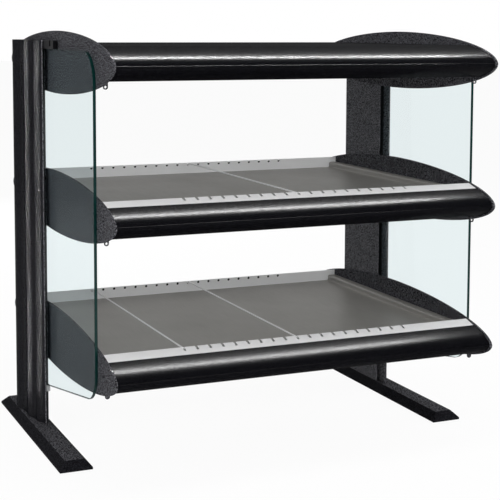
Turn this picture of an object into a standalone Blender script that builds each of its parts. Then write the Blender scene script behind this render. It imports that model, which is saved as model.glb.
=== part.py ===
"""Heated merchandiser: two heated shelves under a heated canopy, open at the front and back.

Two fluted uprights stand on long feet. They carry three tiers, each a pair of rails between oval end
caps, and a glass panel stands in a slot of each upright. X points right, Y back and Z up, in metres.
The origin is on the counter, under the middle of the caps.
"""

from math import asin, atan2, copysign, cos, pi, sin, tan

import bmesh
import bpy
from mathutils import Matrix, Vector

for old_object in list(bpy.data.objects):
    bpy.data.objects.remove(old_object, do_unlink=True)

# Whole object
shelf_width = 0.760
tier_pitch = 0.275
low_tier_height = 0.209
fit_gap = 0.0003
cut_overrun = 0.003
weld_distance = 0.00001

# End caps
cap_length = 0.756
cap_height = 0.122
cap_thickness = 0.004
cap_exponent = 1.9
cap_points = 56
tab_margin = 0.072
tab_reach = 0.007
tab_thickness = 0.0025
tab_top = 0.0275
tab_bottom = 0.0405
tab_hole_radius = 0.0022

# Feet and their rubber pads
foot_width = 0.064
foot_front = -0.188
foot_back = 0.305
foot_height = 0.020
foot_edge_height = 0.006
foot_chamfer = 0.014
foot_lift = 0.0015
pad_width = 0.020
pad_recess = 0.002
pad_end_margin = 0.025

# Uprights: places along Y, and depths outward from the inner face
upright_rise = 0.042
upright_back = 0.247
upright_depth = 0.0362
upright_back_flat = 0.016
upright_shoulder = 0.200
flute_ridges = ((0.0362, 0.195), (0.0318, 0.129), (0.0238, 0.086), (0.0131, 0.0605))
flute_depth_share = 0.055
nose_tip = (0.0116, 0.0585)
inner_lip_front = 0.084
inner_lip_thickness = 0.0014
slot_width = 0.0086
slot_bottom = 0.108
cavity_wall = 0.0036
cavity_width = 0.023
cavity_front = 0.132
cavity_back = 0.226
screw_port_depth = 0.014
screw_port_places = (0.120, 0.2365)
screw_port_radius = 0.0032
plug_height = 0.015

# Glass and what holds it
glass_thickness = 0.006
glass_bottom = 0.100
glass_front = -0.281
glass_front_rise = 0.059
glass_corner_radius = 0.058
gasket_thickness = 0.0007
gasket_bridge = 0.001
rest_height = 0.0127
rest_front = 0.062
retainer_rise = 0.017
retainer_front = -0.018
retainer_groove = (0.003, 0.012)
retainer_bridge = 0.005

# Rails
rail_inset = 0.0045
rail_wall = 0.002
rail_drop = 0.026
rail_flange = 0.020
rail_steps = 14
crease_height = 0.002
crease_width = 0.0016
crease_depth = 0.0012
web_thickness = 0.002
boss_margin = 0.070
boss_radius = 0.0045
boss_hole_radius = 0.0018
control_face_margin = 0.028
web_stub = 0.0005
web_end_length = 0.050

# Canopy cover
cover_margin = 0.093
cover_thickness = 0.0015
cover_seat = 0.015

# Trays, back strips and heat blankets
tray_floor = 0.011
tray_sheet = 0.0015
tray_ledge_width = 0.018
tray_ledge = 0.0235
tray_back_gap = 0.016
strip_thickness = 0.0015
strip_top = 0.035
strip_hole_height = 0.031
strip_hole_radius = 0.00275
blanket_thickness = 0.002
blanket_margin_x = 0.022
blanket_margin_y = 0.024

# Slotted lips
lip_margin = 0.0616
lip_run = 0.0254
lip_top = 0.036
lip_flat = 0.003
lip_sheet = 0.0012
lip_seat = 0.012
slot_pitch = 0.0254
slot_count = 19
slot_opening = 0.0038
slot_length = 0.0065
rear_rail_margin = 0.072

# Divider rods
rod_radius = 0.0016
rod_height = 0.0343
rod_overlap = 0.005
rod_tail = 0.005
rod_crank = (0.0035, 0.008)
mid_dividers = {"mid_divider": 0}
low_dividers = {"low_divider_left": -9, "low_divider_middle": 0}

# Heat pans, with an element and a tubular lamp in a trough
pan_sheet = 0.0015
trough_margin = 0.060
trough_half_width = 0.110
trough_depth = 0.026
trough_top_share = 0.88
element_radius = 0.004
element_drop = 0.012
element_place = 0.040
element_bend_radius = 0.025
element_end_gap = 0.050
lamp_place = -0.050
lamp_drop = 0.014
lamp_radius = 0.006
lamp_end_radius = 0.010
lamp_end_length = 0.030
guard_overlap = (0.010, 0.008)
guard_thickness = 0.0025
guard_bar = 0.003
guard_cells = (10, 3)

# Controls on the rear rails
switch_margin = 0.090
control_spacing = 0.055
control_plate_margin = 0.018
control_plate_half_height = 0.0165
control_plate_thickness = 0.0017
control_box_margin = 0.002
control_box_depth = 0.022
rocker_width = 0.015
rocker_half_length = 0.011
rocker_crown = 0.0065
rocker_valley = 0.0045
rocker_pivot_depth = 0.004
rocker_well_depth = 0.0093
rocker_well_margin = 0.0015
rocker_tilt = pi / 18
knob_profile_shares = ((0, 1), (0.55, 1), (0.62, 0.36), (0.94, 0.30), (1, 0.24))
knob_radius = 0.0155
knob_height = 0.0165
knob_pointer = (0.0022, 0.0012)
knob_shaft_radius = 0.003
knob_shaft_length = 0.012
gland_margin = 0.080
gland_collar_radius = 0.011
gland_collar_length = 0.006
gland_body_radius = 0.008
gland_nut_length = 0.005
gland_bore_radius = 0.004

# Studs, in one piece with the caps and feet
cap_bolt_places = (0.155, 0.205)
bolt_shank_radius = 0.003
bolt_head_radius = 0.005
bolt_head_height = 0.005
bolt_grip = 0.006
bolt_clearance = 0.0004
foot_stud_height = 0.025
rail_screw_shank_radius = 0.0014
rail_screw_head_radius = 0.0032
rail_screw_head_height = 0.0019
rail_screw_length = 0.014

# Facets of round shapes
hole_sides = 10
bolt_sides = 8
turned_sides = 20
corner_steps = 8

# Places that follow from the sizes above
cap_inner = shelf_width / 2
cap_outer = cap_inner + cap_thickness
cap_reach = cap_length / 2
tab_place = cap_reach - tab_margin
piece_half_width = cap_inner - fit_gap
tiers = {
    "low": low_tier_height,
    "mid": low_tier_height + tier_pitch,
    "canopy": low_tier_height + tier_pitch + tier_pitch,
}
sides = {"left": -1, "right": 1}
upright_inner = cap_outer + fit_gap
upright_bottom = foot_height + fit_gap
upright_top = tiers["canopy"] + upright_rise
foot_centre = cap_outer + foot_width / 2 - foot_chamfer
slot_inner = upright_inner + inner_lip_thickness
slot_outer = slot_inner + slot_width
glass_inner = slot_inner + (slot_width - glass_thickness) / 2
glass_back = slot_bottom - fit_gap - gasket_bridge - fit_gap
glass_top = upright_top - retainer_rise
block_back = slot_bottom - fit_gap
boss_reach = cap_reach - boss_margin
cover_reach = cap_reach - cover_margin
rear_rail_end = cap_reach - rear_rail_margin
tray_half_width = cap_inner - tray_ledge_width
tray_back = rear_rail_end - tray_back_gap
lip_front = cap_reach - lip_margin
lip_back = lip_front - lip_run
lip_wall_place = lip_back - lip_flat
rod_front = lip_back + rod_overlap
trough_half_length = cap_inner - trough_margin
guard_half_length = trough_half_length + guard_overlap[0]
guard_half_width = trough_half_width + guard_overlap[1]
element_far_end = trough_half_length - element_end_gap
control_face = cap_reach - control_face_margin
control_back = control_face + fit_gap
control_front = control_back + control_plate_thickness
switch_place = switch_margin - cap_inner
knob_place = switch_place + control_spacing
gland_place = cap_inner - gland_margin

finishes = {
    "black_coat": ((0.045, 0.045, 0.050), 0.35, 0.30),
    "rail_black": ((0.020, 0.020, 0.022), 0.28, 0.30),
    "clear_glass": ((0.780, 0.870, 0.860), 0.05, 0.00),
    "tray_grey": ((0.230, 0.225, 0.215), 0.42, 0.80),
    "bright_aluminium": ((0.720, 0.720, 0.730), 0.30, 0.90),
    "reflector": ((0.800, 0.800, 0.790), 0.15, 1.00),
    "element_steel": ((0.250, 0.240, 0.230), 0.45, 0.80),
    "lamp_glass": ((0.900, 0.880, 0.820), 0.20, 0.00),
    "black_plastic": ((0.025, 0.025, 0.025), 0.45, 0.00),
    "grey_plastic": ((0.600, 0.610, 0.620), 0.50, 0.00),
    "rubber": ((0.030, 0.030, 0.030), 0.85, 0.00),
    "steel": ((0.550, 0.550, 0.560), 0.35, 1.00),
    "blanket": ((0.480, 0.200, 0.110), 0.70, 0.00),
}

axis_frames = {
    "x": Matrix(((0, 0, 1), (1, 0, 0), (0, 1, 0))),
    "y": Matrix(((1, 0, 0), (0, 0, -1), (0, 1, 0))),
    "z": Matrix.Identity(3),
}
axis_units = {"x": Vector((1, 0, 0)), "y": Vector((0, 1, 0)), "z": Vector((0, 0, 1))}


def new_collection(name):
    group = bpy.data.collections.new(name)
    bpy.context.scene.collection.children.link(group)
    return group


parts = new_collection("heated_merchandiser")
cutters = new_collection("cutters")


def finish(obj, finish_name):
    """Gives a piece its own material."""
    colour, roughness, metallic = finishes[finish_name]
    material = bpy.data.materials.new(obj.name)
    material.use_nodes = True
    shader = material.node_tree.nodes["Principled BSDF"]
    shader.inputs["Base Color"].default_value = (*colour, 1)
    shader.inputs["Roughness"].default_value = roughness
    shader.inputs["Metallic"].default_value = metallic
    obj.data.materials.clear()
    obj.data.materials.append(material)
    return obj


def move_to(obj, group):
    for holder in list(obj.users_collection):
        holder.objects.unlink(obj)
    group.objects.link(obj)
    if group is cutters:
        obj.hide_render = True
        obj.display_type = "WIRE"
    return obj


def evaluated_mesh(obj):
    bpy.context.view_layer.update()
    graph = bpy.context.evaluated_depsgraph_get()
    return bpy.data.meshes.new_from_object(obj.evaluated_get(graph))


def smooth_round_sides(obj):
    """Shades gentle bends smooth and keeps real edges sharp."""
    obj.data.shade_smooth()
    obj.data.set_sharp_from_angle(angle=pi / 5)


def solid_from_curve(drawn, name, group):
    """Turns a curve into a closed mesh, with its caps welded on."""
    bpy.context.scene.collection.objects.link(drawn)
    mesh = evaluated_mesh(drawn)
    mesh.name = name
    welded = bmesh.new()
    welded.from_mesh(mesh)
    bmesh.ops.remove_doubles(welded, verts=welded.verts, dist=weld_distance)
    bmesh.ops.recalc_face_normals(welded, faces=welded.faces)
    welded.to_mesh(mesh)
    welded.free()
    placing = drawn.matrix_world.copy()
    bpy.data.objects.remove(drawn, do_unlink=True)
    solid = bpy.data.objects.new(name, mesh)
    solid.matrix_world = placing
    smooth_round_sides(solid)
    return move_to(solid, group)


def extruded(name, outlines, axis, start, end, group=parts):
    """Runs a flat outline, with any holes, along an axis: (y, z), (x, z) or (x, y) points."""
    curve = bpy.data.curves.new(name, "CURVE")
    curve.dimensions = "2D"
    curve.fill_mode = "BOTH"
    curve.extrude = abs(end - start) / 2
    for outline in outlines:
        spline = curve.splines.new("POLY")
        spline.points.add(len(outline) - 1)
        for point, (u, v) in zip(spline.points, outline):
            point.co = (u, v, 0, 1)
        spline.use_cyclic_u = True
    drawn = bpy.data.objects.new(name, curve)
    middle = axis_units[axis] * (start + end) / 2
    drawn.matrix_world = Matrix.Translation(middle) @ axis_frames[axis].to_4x4()
    return solid_from_curve(drawn, name, group)


def box(name, x_span, y_span, z_span, group=parts, top_share=1):
    """A box between two corners; top_share narrows its top along Y."""
    spans = (x_span, y_span, z_span)
    centre = [sum(span) / 2 for span in spans]
    bpy.ops.mesh.primitive_cube_add(size=1, location=centre)
    block = bpy.context.object
    block.name = name
    block.data.name = name
    block.scale = [abs(span[1] - span[0]) for span in spans]
    bpy.ops.object.transform_apply(location=False, rotation=False, scale=True)
    for vertex in block.data.vertices:
        if vertex.co.z > 0:
            vertex.co.y *= top_share
    return move_to(block, group)


def cylinder(name, axis, centre, length, radius, sides=hole_sides, group=cutters):
    """A cylinder along an axis, with its middle at the centre."""
    turn = {"x": (0, pi / 2, 0), "y": (pi / 2, 0, 0), "z": (0, 0, 0)}[axis]
    bpy.ops.mesh.primitive_cylinder_add(
        vertices=sides, radius=radius, depth=length, location=centre, rotation=turn
    )
    rod = bpy.context.object
    rod.name = name
    rod.data.name = name
    smooth_round_sides(rod)
    return move_to(rod, group)


def turned(name, profile, direction, place, sides=turned_sides, group=parts, closed=False):
    """Turns a (radius, height) profile, listed from top to bottom, about a direction."""
    mesh = bpy.data.meshes.new(name)
    points = [(radius, 0, height) for radius, height in profile]
    edges = [(i, i + 1) for i in range(len(points) - 1)]
    if closed:
        edges.append((len(points) - 1, 0))
    mesh.from_pydata(points, edges, [])
    piece = bpy.data.objects.new(name, mesh)
    screw = piece.modifiers.new("turn", "SCREW")
    screw.steps = sides
    screw.render_steps = sides
    screw.use_merge_vertices = True
    screw.merge_threshold = weld_distance
    piece.rotation_euler = Vector(direction).to_track_quat("Z", "Y").to_euler()
    piece.location = place
    return move_to(piece, group)


def combine(obj, tool, operation="DIFFERENCE"):
    modifier = obj.modifiers.new(tool.name, "BOOLEAN")
    modifier.object = tool
    modifier.operation = operation
    modifier.solver = "EXACT"
    return obj


def joined(name, pieces):
    """Gathers separate solids into one cutter."""
    whole = bmesh.new()
    for piece in pieces:
        mesh = evaluated_mesh(piece)
        mesh.transform(piece.matrix_world)
        whole.from_mesh(mesh)
        bpy.data.meshes.remove(mesh)
        bpy.data.objects.remove(piece, do_unlink=True)
    mesh = bpy.data.meshes.new(name)
    whole.to_mesh(mesh)
    whole.free()
    return move_to(bpy.data.objects.new(name, mesh), cutters)


def arc(centre, radius, start, end, steps):
    """Points of an arc, both ends included."""
    angles = [start + (end - start) * step / steps for step in range(steps + 1)]
    return [(centre[0] + radius * cos(a), centre[1] + radius * sin(a)) for a in angles]


def circle(centre, radius, sides=hole_sides):
    return arc(centre, radius, 0, 2 * pi * (sides - 1) / sides, sides - 1)


def rectangle(u_span, v_span):
    return [(u_span[0], v_span[0]), (u_span[1], v_span[0]), (u_span[1], v_span[1]), (u_span[0], v_span[1])]


def side_span(side, near, far):
    """An X span at one side, from two distances off the middle plane."""
    return tuple(sorted((side * near, side * far)))


def raised(outline, height):
    return [(u, v + height) for u, v in outline]


# The oval is a superellipse: |y / half length| ^ n + |z / half height| ^ n = 1
def oval_at(angle, inset=0):
    power = 2 / cap_exponent
    reach = (cap_length / 2 - inset) * copysign(abs(cos(angle)) ** power, cos(angle))
    height = (cap_height / 2 - inset) * copysign(abs(sin(angle)) ** power, sin(angle))
    return reach, height


def oval_angle(height, inset):
    share = abs(height) / (cap_height / 2 - inset)
    return asin(copysign(share ** (cap_exponent / 2), height))


def oval_reach(height, inset):
    return oval_at(oval_angle(height, inset), inset)[0]


def oval_height(reach, inset):
    share = reach / (cap_length / 2 - inset)
    return (cap_height / 2 - inset) * (1 - share**cap_exponent) ** (1 / cap_exponent)


web_height = crease_height - web_thickness / 2


def headed(head_radius, head_height, shank_radius, shank_length, direction, place):
    """A turned stud whose head stands on the place and whose shank runs back from it."""
    profile = [
        (0, head_height),
        (head_radius, head_height),
        (head_radius, 0),
        (shank_radius, 0),
        (shank_radius, -shank_length),
        (0, -shank_length),
    ]
    return turned("stud", profile, direction, place, bolt_sides, cutters)


def cap_studs(name, side, height):
    """Two bolts out into the upright's cavity, and two screws in to the bosses of the rails."""
    middle = side * (cap_inner + cap_thickness / 2)
    bolt_length = cap_thickness / 2 + fit_gap + cavity_wall + bolt_grip
    bolt_size = (bolt_head_radius, cap_thickness / 2 + bolt_head_height, bolt_shank_radius, bolt_length)
    bolts = [headed(*bolt_size, (-side, 0, 0), (middle, place, height)) for place in cap_bolt_places]
    screw_size = (
        rail_screw_head_radius,
        cap_thickness / 2 + rail_screw_head_height,
        rail_screw_shank_radius,
        cap_thickness / 2 + rail_screw_length,
    )
    places = [(middle, facing * boss_reach, height + web_height) for facing in (-1, 1)]
    screws = [headed(*screw_size, (side, 0, 0), place) for place in places]
    return joined(name + "_studs", bolts + screws)


def end_cap(name, side, height, has_hole):
    """An oval plate with its studs, and a small pierced tab bent inward under its front."""
    outline = [oval_at(2 * pi * step / cap_points) for step in range(cap_points)]
    cap = extruded(name, [raised(outline, height)], "x", side * cap_inner, side * cap_outer)
    combine(cap, cap_studs(name, side, height), "UNION")

    tab_half = (tab_reach + cap_thickness / 2) / 2
    middle = side * (cap_inner + cap_thickness / 2 - tab_half)
    lobe = (middle, height - tab_bottom + tab_half)
    top = height - tab_top
    tab_end = arc(lobe, tab_half, pi, 2 * pi, corner_steps)
    tab = [[(middle + tab_half, top), (middle - tab_half, top), *tab_end]]
    if has_hole:
        tab.append(circle(lobe, tab_hole_radius))
    tab_faces = (-tab_place - tab_thickness / 2, -tab_place + tab_thickness / 2)
    combine(cap, extruded(name + "_tab", tab, "y", *tab_faces, cutters), "UNION")
    return finish(cap, "black_coat")


def oval_run(inset, top, bottom, limit):
    """Points along the oval between two heights, cut off flat at a limit."""
    first = oval_angle(top, inset)
    last = oval_angle(bottom, inset)
    angles = [first + (last - first) * step / rail_steps for step in range(rail_steps + 1)]
    return [(min(reach, limit), height) for reach, height in (oval_at(a, inset) for a in angles)]


def rail_section(end_reach, face, seat_drop, seat_width):
    """A rail's section: an oval skin, a foot flange, a web with a screw boss and a seat at the top."""
    inner = rail_inset + rail_wall
    inner_face = face - rail_wall
    top = oval_height(end_reach, rail_inset)
    crease = (min(oval_reach(crease_height, rail_inset), face) - crease_depth, crease_height)
    outer = [
        *oval_run(rail_inset, top, crease_height + crease_width / 2, face),
        crease,
        *oval_run(rail_inset, crease_height - crease_width / 2, -rail_drop, face),
    ]
    foot_end = outer[-1][0] - rail_flange
    flange = [(foot_end, -rail_drop), (foot_end, -rail_drop + rail_wall)]
    web_top = web_height + web_thickness / 2
    web_bottom = web_height - web_thickness / 2
    neck = asin(web_thickness / 2 / boss_radius)
    boss = arc((boss_reach, web_height), boss_radius, -neck, neck - 2 * pi, hole_sides)
    lower = oval_run(inner, -rail_drop + rail_wall, web_bottom, inner_face)
    if seat_width:
        seat = top - seat_drop
        upper = oval_run(inner, web_top, seat - rail_wall, inner_face)
        seat_end = end_reach - seat_width
        end = [(seat_end, seat - rail_wall), (seat_end, seat), (end_reach, seat)]
    else:
        upper = oval_run(inner, web_top, oval_height(end_reach, inner), inner_face)
        end = []
    screw_hole = circle((boss_reach, web_height), boss_hole_radius)
    return [[*outer, *flange, *lower, *boss, *upper, *end], screw_hole]


def rail(name, facing, height, end_reach, face, seat_drop, seat_width):
    section = rail_section(end_reach, face, seat_drop, seat_width)
    outlines = [[(facing * reach, height + rise) for reach, rise in outline] for outline in section]
    return finish(extruded(name, outlines, "x", -piece_half_width, piece_half_width), "rail_black")


def front_rail(name, height, end_reach, seat_drop, seat_width):
    return rail(name, -1, height, end_reach, cap_length / 2, seat_drop, seat_width)


def rear_rail(name, height, end_reach, seat_drop, seat_width, has_gland):
    """A rail with a flat face, pierced for its control box and, on one, the cord gland."""
    piece = rail(name, 1, height, end_reach, control_face, seat_drop, seat_width)
    web_span = piece_half_width - web_end_length
    web_gap = box(
        name + "_web_gap",
        (-web_span, web_span),
        (boss_reach - boss_radius - cut_overrun, control_face - rail_wall - web_stub),
        (height + web_height - boss_radius - web_stub, height + web_height + boss_radius + web_stub),
        cutters,
    )
    combine(piece, web_gap)
    through = (control_face - rail_wall - cut_overrun, control_face + cut_overrun)
    margin = control_box_margin - fit_gap
    combine(piece, control_solid(name + "_window", height, margin, through, cutters))
    if has_gland:
        gland_hole = cylinder(
            name + "_gland_hole",
            "y",
            (gland_place, sum(through) / 2, height),
            through[1] - through[0],
            gland_body_radius + fit_gap,
            turned_sides,
        )
        combine(piece, gland_hole)
    return piece


def foot(name, side):
    """A long block whose top is drawn in by a wide chamfer all round."""
    x_span = side_span(side, foot_centre - foot_width / 2, foot_centre + foot_width / 2)
    block = box(name, x_span, (foot_front, foot_back), (foot_lift, foot_edge_height))
    shape = bmesh.new()
    shape.from_mesh(block.data)
    top = max(shape.faces, key=lambda face: face.calc_center_median().z)
    grown = bmesh.ops.extrude_face_region(shape, geom=[top])["geom"]
    bmesh.ops.delete(shape, geom=[top], context="FACES_ONLY")
    for vertex in (item for item in grown if isinstance(item, bmesh.types.BMVert)):
        vertex.co.x -= copysign(foot_chamfer, vertex.co.x)
        vertex.co.y -= copysign(foot_chamfer, vertex.co.y)
        vertex.co.z += foot_height - foot_edge_height
    shape.to_mesh(block.data)
    shape.free()

    studs = []
    stud_radius = screw_port_radius - bolt_clearance
    for place in screw_port_places:
        x = side * (upright_inner + screw_port_depth)
        length = foot_stud_height + foot_height / 2
        centre = (x, place, foot_height + foot_stud_height - length / 2)
        studs.append(cylinder("stud", "z", centre, length, stud_radius, bolt_sides))
    combine(block, joined(name + "_studs", studs), "UNION")
    z_span = (foot_lift - cut_overrun, foot_lift + pad_recess)
    groove = pad_solid(name + "_pad_groove", side, fit_gap, z_span, cutters)
    combine(block, groove)
    return finish(block, "black_coat")


def pad_solid(name, side, margin, z_span, group=parts):
    """A long strip with round ends under a foot."""
    radius = pad_width / 2 + margin
    x = side * foot_centre
    front = foot_front + pad_end_margin + pad_width / 2
    back = foot_back - pad_end_margin - pad_width / 2
    outline = [
        *arc((x, front), radius, pi, 2 * pi, corner_steps),
        *arc((x, back), radius, 0, pi, corner_steps),
    ]
    return extruded(name, [outline], "z", *z_span, group)


def foot_pad(name, side):
    return finish(pad_solid(name, side, 0, (0, foot_lift + pad_recess - fit_gap)), "rubber")


def flute(start, end):
    """A shallow hollow between two ridges of an upright, without its last point."""
    chord_x = end[0] - start[0]
    chord_y = end[1] - start[1]
    points = []
    for step in range(corner_steps):
        share = step / corner_steps
        sink = flute_depth_share * sin(pi * share)
        depth = start[0] + chord_x * share + chord_y * sink
        points.append((depth, start[1] + chord_y * share - chord_x * sink))
    return points


def upright_section():
    """(depth, y) outlines of an upright: fluted skin, glass slot, cavity and two screw ports."""
    slot_near = inner_lip_thickness
    slot_far = slot_near + slot_width
    shoulder_length = upright_back - upright_shoulder
    shoulder_depth = upright_depth - upright_back_flat
    shoulder = []
    for step in range(corner_steps + 1):
        angle = pi / 2 * (1 - step / corner_steps)
        depth = upright_back_flat + shoulder_depth * cos(angle)
        shoulder.append((depth, upright_shoulder + shoulder_length * sin(angle)))
    flutes = [point for pair in zip(flute_ridges, flute_ridges[1:]) for point in flute(*pair)]
    skin = [
        (0, inner_lip_front),
        (0, upright_back),
        *shoulder,
        *flutes,
        flute_ridges[-1],
        nose_tip,
        (slot_far, flute_ridges[-1][1]),
        (slot_far, slot_bottom),
        (slot_near, slot_bottom),
        (slot_near, inner_lip_front),
    ]
    cavity = rectangle((cavity_wall, cavity_wall + cavity_width), (cavity_front, cavity_back))
    ports = [circle((screw_port_depth, place), screw_port_radius) for place in screw_port_places]
    return [skin, cavity, *ports]


def upright(name, side):
    section = upright_section()
    outlines = [[(side * (upright_inner + depth), y) for depth, y in outline] for outline in section]
    post = extruded(name, outlines, "z", upright_bottom, upright_top)
    length = cavity_wall + cut_overrun + cut_overrun
    middle = side * (upright_inner + cavity_wall / 2)
    holes = []
    for height in tiers.values():
        for place in cap_bolt_places:
            radius = bolt_shank_radius + bolt_clearance
            holes.append(cylinder("hole", "x", (middle, place, height), length, radius))
    combine(post, joined(name + "_bolt_holes", holes))
    return finish(post, "black_coat")


def upright_plug(name, side):
    """A plastic plug that closes an upright's cavity at the top."""
    near = upright_inner + cavity_wall + fit_gap
    far = upright_inner + cavity_wall + cavity_width - fit_gap
    y_span = (cavity_front + fit_gap, cavity_back - fit_gap)
    plug = box(name, side_span(side, near, far), y_span, (upright_top - plug_height, upright_top))
    return finish(plug, "black_plastic")


def glass(name, side):
    """A side panel with rounded front corners. Its lower edge lies flat on the rest, then rises to the front."""
    radius = glass_corner_radius
    slope = atan2(glass_front_rise, rest_front - glass_front)
    level = glass_bottom + glass_front_rise - radius * tan(slope) + radius / cos(slope)
    low = arc((glass_front + radius, level), radius, pi, 3 * pi / 2 - slope, corner_steps)
    high = arc((glass_front + radius, glass_top - radius), radius, pi / 2, pi, corner_steps)
    seat = [(rest_front, glass_bottom), (glass_back, glass_bottom)]
    outline = [*low, *seat, (glass_back, glass_top), *high]
    near = side * glass_inner
    far = side * (glass_inner + glass_thickness)
    return finish(extruded(name, [outline], "x", near, far), "clear_glass")


def gasket(name, side):
    """A channel round a panel's back edge, inside the slot."""
    near = slot_inner + fit_gap
    far = slot_outer - fit_gap
    front = inner_lip_front + fit_gap
    section = [
        (near, front),
        (near + gasket_thickness, front),
        (near + gasket_thickness, block_back - gasket_bridge),
        (far - gasket_thickness, block_back - gasket_bridge),
        (far - gasket_thickness, front),
        (far, front),
        (far, block_back),
        (near, block_back),
    ]
    outline = [(side * x, y) for x, y in section]
    return finish(extruded(name, [outline], "z", glass_bottom, glass_top), "rubber")


def glass_rest(name, side):
    """A pale block in the slot that carries the panel."""
    x_span = side_span(side, slot_inner + fit_gap, slot_outer - fit_gap)
    top = glass_bottom - fit_gap
    return finish(box(name, x_span, (rest_front, block_back), (top - rest_height, top)), "grey_plastic")


def glass_retainer(name, side):
    """A black block over the rear part of a panel's top edge, with a groove across."""
    bottom = glass_top + fit_gap
    outline = [
        (retainer_front, bottom),
        (block_back, bottom),
        (block_back, upright_top),
        (retainer_groove[1], upright_top),
        (retainer_groove[1], bottom + retainer_bridge),
        (retainer_groove[0], bottom + retainer_bridge),
        (retainer_groove[0], upright_top),
        (retainer_front, upright_top),
    ]
    near = side * (slot_inner + fit_gap)
    far = side * (slot_outer - fit_gap)
    return finish(extruded(name, [outline], "x", near, far), "black_plastic")


def canopy_cover():
    height = tiers["canopy"]
    top = height + oval_height(cover_reach, rail_inset)
    span = (-piece_half_width, piece_half_width)
    reach = cover_reach - fit_gap
    cover = box("canopy_top_cover", span, (-reach, reach), (top - cover_thickness, top))
    return finish(cover, "rail_black")


def tray(name, height):
    """A bent sheet: a wide floor between two walls, with a ledge out to each cap."""
    wall = tray_half_width + tray_sheet
    top = height + tray_ledge
    floor = height + tray_floor
    under_ledge = top - tray_sheet
    under_floor = floor - tray_sheet
    right = [
        (tray_half_width, floor),
        (tray_half_width, top),
        (piece_half_width, top),
        (piece_half_width, under_ledge),
        (wall, under_ledge),
        (wall, under_floor),
    ]
    left = [(-x, z) for x, z in reversed(right)]
    sheet = extruded(name, [right + left], "y", -lip_wall_place + fit_gap, tray_back - fit_gap)
    return finish(sheet, "tray_grey")


def slot_places():
    return [(index - (slot_count - 1) / 2) * slot_pitch for index in range(slot_count)]


def back_strip(name, height):
    """A strip across the back of a tray, with a row of holes for the divider rods."""
    span = (-piece_half_width, piece_half_width)
    plate = rectangle(span, (height + tray_floor - tray_sheet, height + strip_top))
    holes = [circle((x, height + strip_hole_height), strip_hole_radius, bolt_sides) for x in slot_places()]
    strip = extruded(name, [plate, *holes], "y", tray_back, tray_back + strip_thickness)
    return finish(strip, "bright_aluminium")


def slotted_lip(name, height):
    """A sloping strip behind the front rail, bent down to the tray, with a row of slots."""
    front_height = oval_height(lip_front + fit_gap, rail_inset)
    section = [
        (-lip_front, front_height),
        (-lip_back, lip_top),
        (-lip_wall_place, lip_top),
        (-lip_wall_place, tray_floor - tray_sheet),
        (-lip_wall_place - lip_sheet, tray_floor - tray_sheet),
        (-lip_wall_place - lip_sheet, lip_top - lip_sheet),
        (-lip_back, lip_top - lip_sheet),
        (-lip_front, front_height - lip_sheet),
    ]
    lip = extruded(name, [raised(section, height)], "x", -piece_half_width, piece_half_width)
    y_span = (-lip_back - slot_length, -lip_wall_place + cut_overrun)
    z_span = (height + rod_height - rod_radius - fit_gap, height + lip_top + cut_overrun)
    half = slot_opening / 2
    slots = [box("slot", (x - half, x + half), y_span, z_span, cutters) for x in slot_places()]
    combine(lip, joined(name + "_slots", slots))
    return finish(lip, "bright_aluminium")


def heat_blanket(name, height):
    """A flat heater that lies under the tray's floor."""
    top = height + tray_floor - tray_sheet - fit_gap
    half_width = tray_half_width - blanket_margin_x
    y_span = (-lip_wall_place + blanket_margin_y, tray_back - blanket_margin_y)
    blanket = box(name, (-half_width, half_width), y_span, (top - blanket_thickness, top))
    return finish(blanket, "blanket")


def divider(name, height, slot_index):
    """A rod from a hole of the back strip to a slot of the lip; its origin is in the hole."""
    rise = rod_height - strip_hole_height
    hole_y = tray_back + strip_thickness / 2
    route = [(rod_tail, 0), (-rod_crank[0], 0), (-rod_crank[1], rise), (-hole_y - rod_front, rise)]
    curve = bpy.data.curves.new(name, "CURVE")
    curve.dimensions = "3D"
    curve.bevel_depth = rod_radius
    curve.bevel_resolution = 2
    curve.use_fill_caps = True
    spline = curve.splines.new("POLY")
    spline.points.add(len(route) - 1)
    for point, (y, z) in zip(spline.points, route):
        point.co = (0, y, z, 1)
    drawn = bpy.data.objects.new(name, curve)
    pivot = (slot_index * slot_pitch, hole_y, height + strip_hole_height)
    drawn.matrix_world = Matrix.Translation(pivot)
    return finish(solid_from_curve(drawn, name, parts), "bright_aluminium")


def pan_bottom(height):
    return height - rail_drop + rail_wall + fit_gap


def base_plate(name, height, thickness):
    """A sheet that lies on the foot flanges of both rails."""
    bottom = pan_bottom(height)
    reach = oval_reach(height - bottom, rail_inset + rail_wall) - fit_gap
    span = (-piece_half_width, piece_half_width)
    return box(name, span, (-reach, reach), (bottom, bottom + thickness))


def heat_pan(name, height):
    """A sheet with a reflector trough that opens downward."""
    pan = base_plate(name, height, pan_sheet)
    bottom = pan_bottom(height)
    half_length = trough_half_length + pan_sheet
    half_width = trough_half_width + pan_sheet
    shell = box(
        name + "_shell",
        (-half_length, half_length),
        (-half_width, half_width),
        (bottom + pan_sheet / 2, bottom + trough_depth + pan_sheet),
        cutters,
        trough_top_share,
    )
    combine(pan, shell, "UNION")
    hollow = box(
        name + "_hollow",
        (-trough_half_length, trough_half_length),
        (-trough_half_width, trough_half_width),
        (bottom - pan_sheet, bottom + trough_depth),
        cutters,
        trough_top_share,
    )
    combine(pan, hollow)
    return finish(pan, "reflector")


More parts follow.
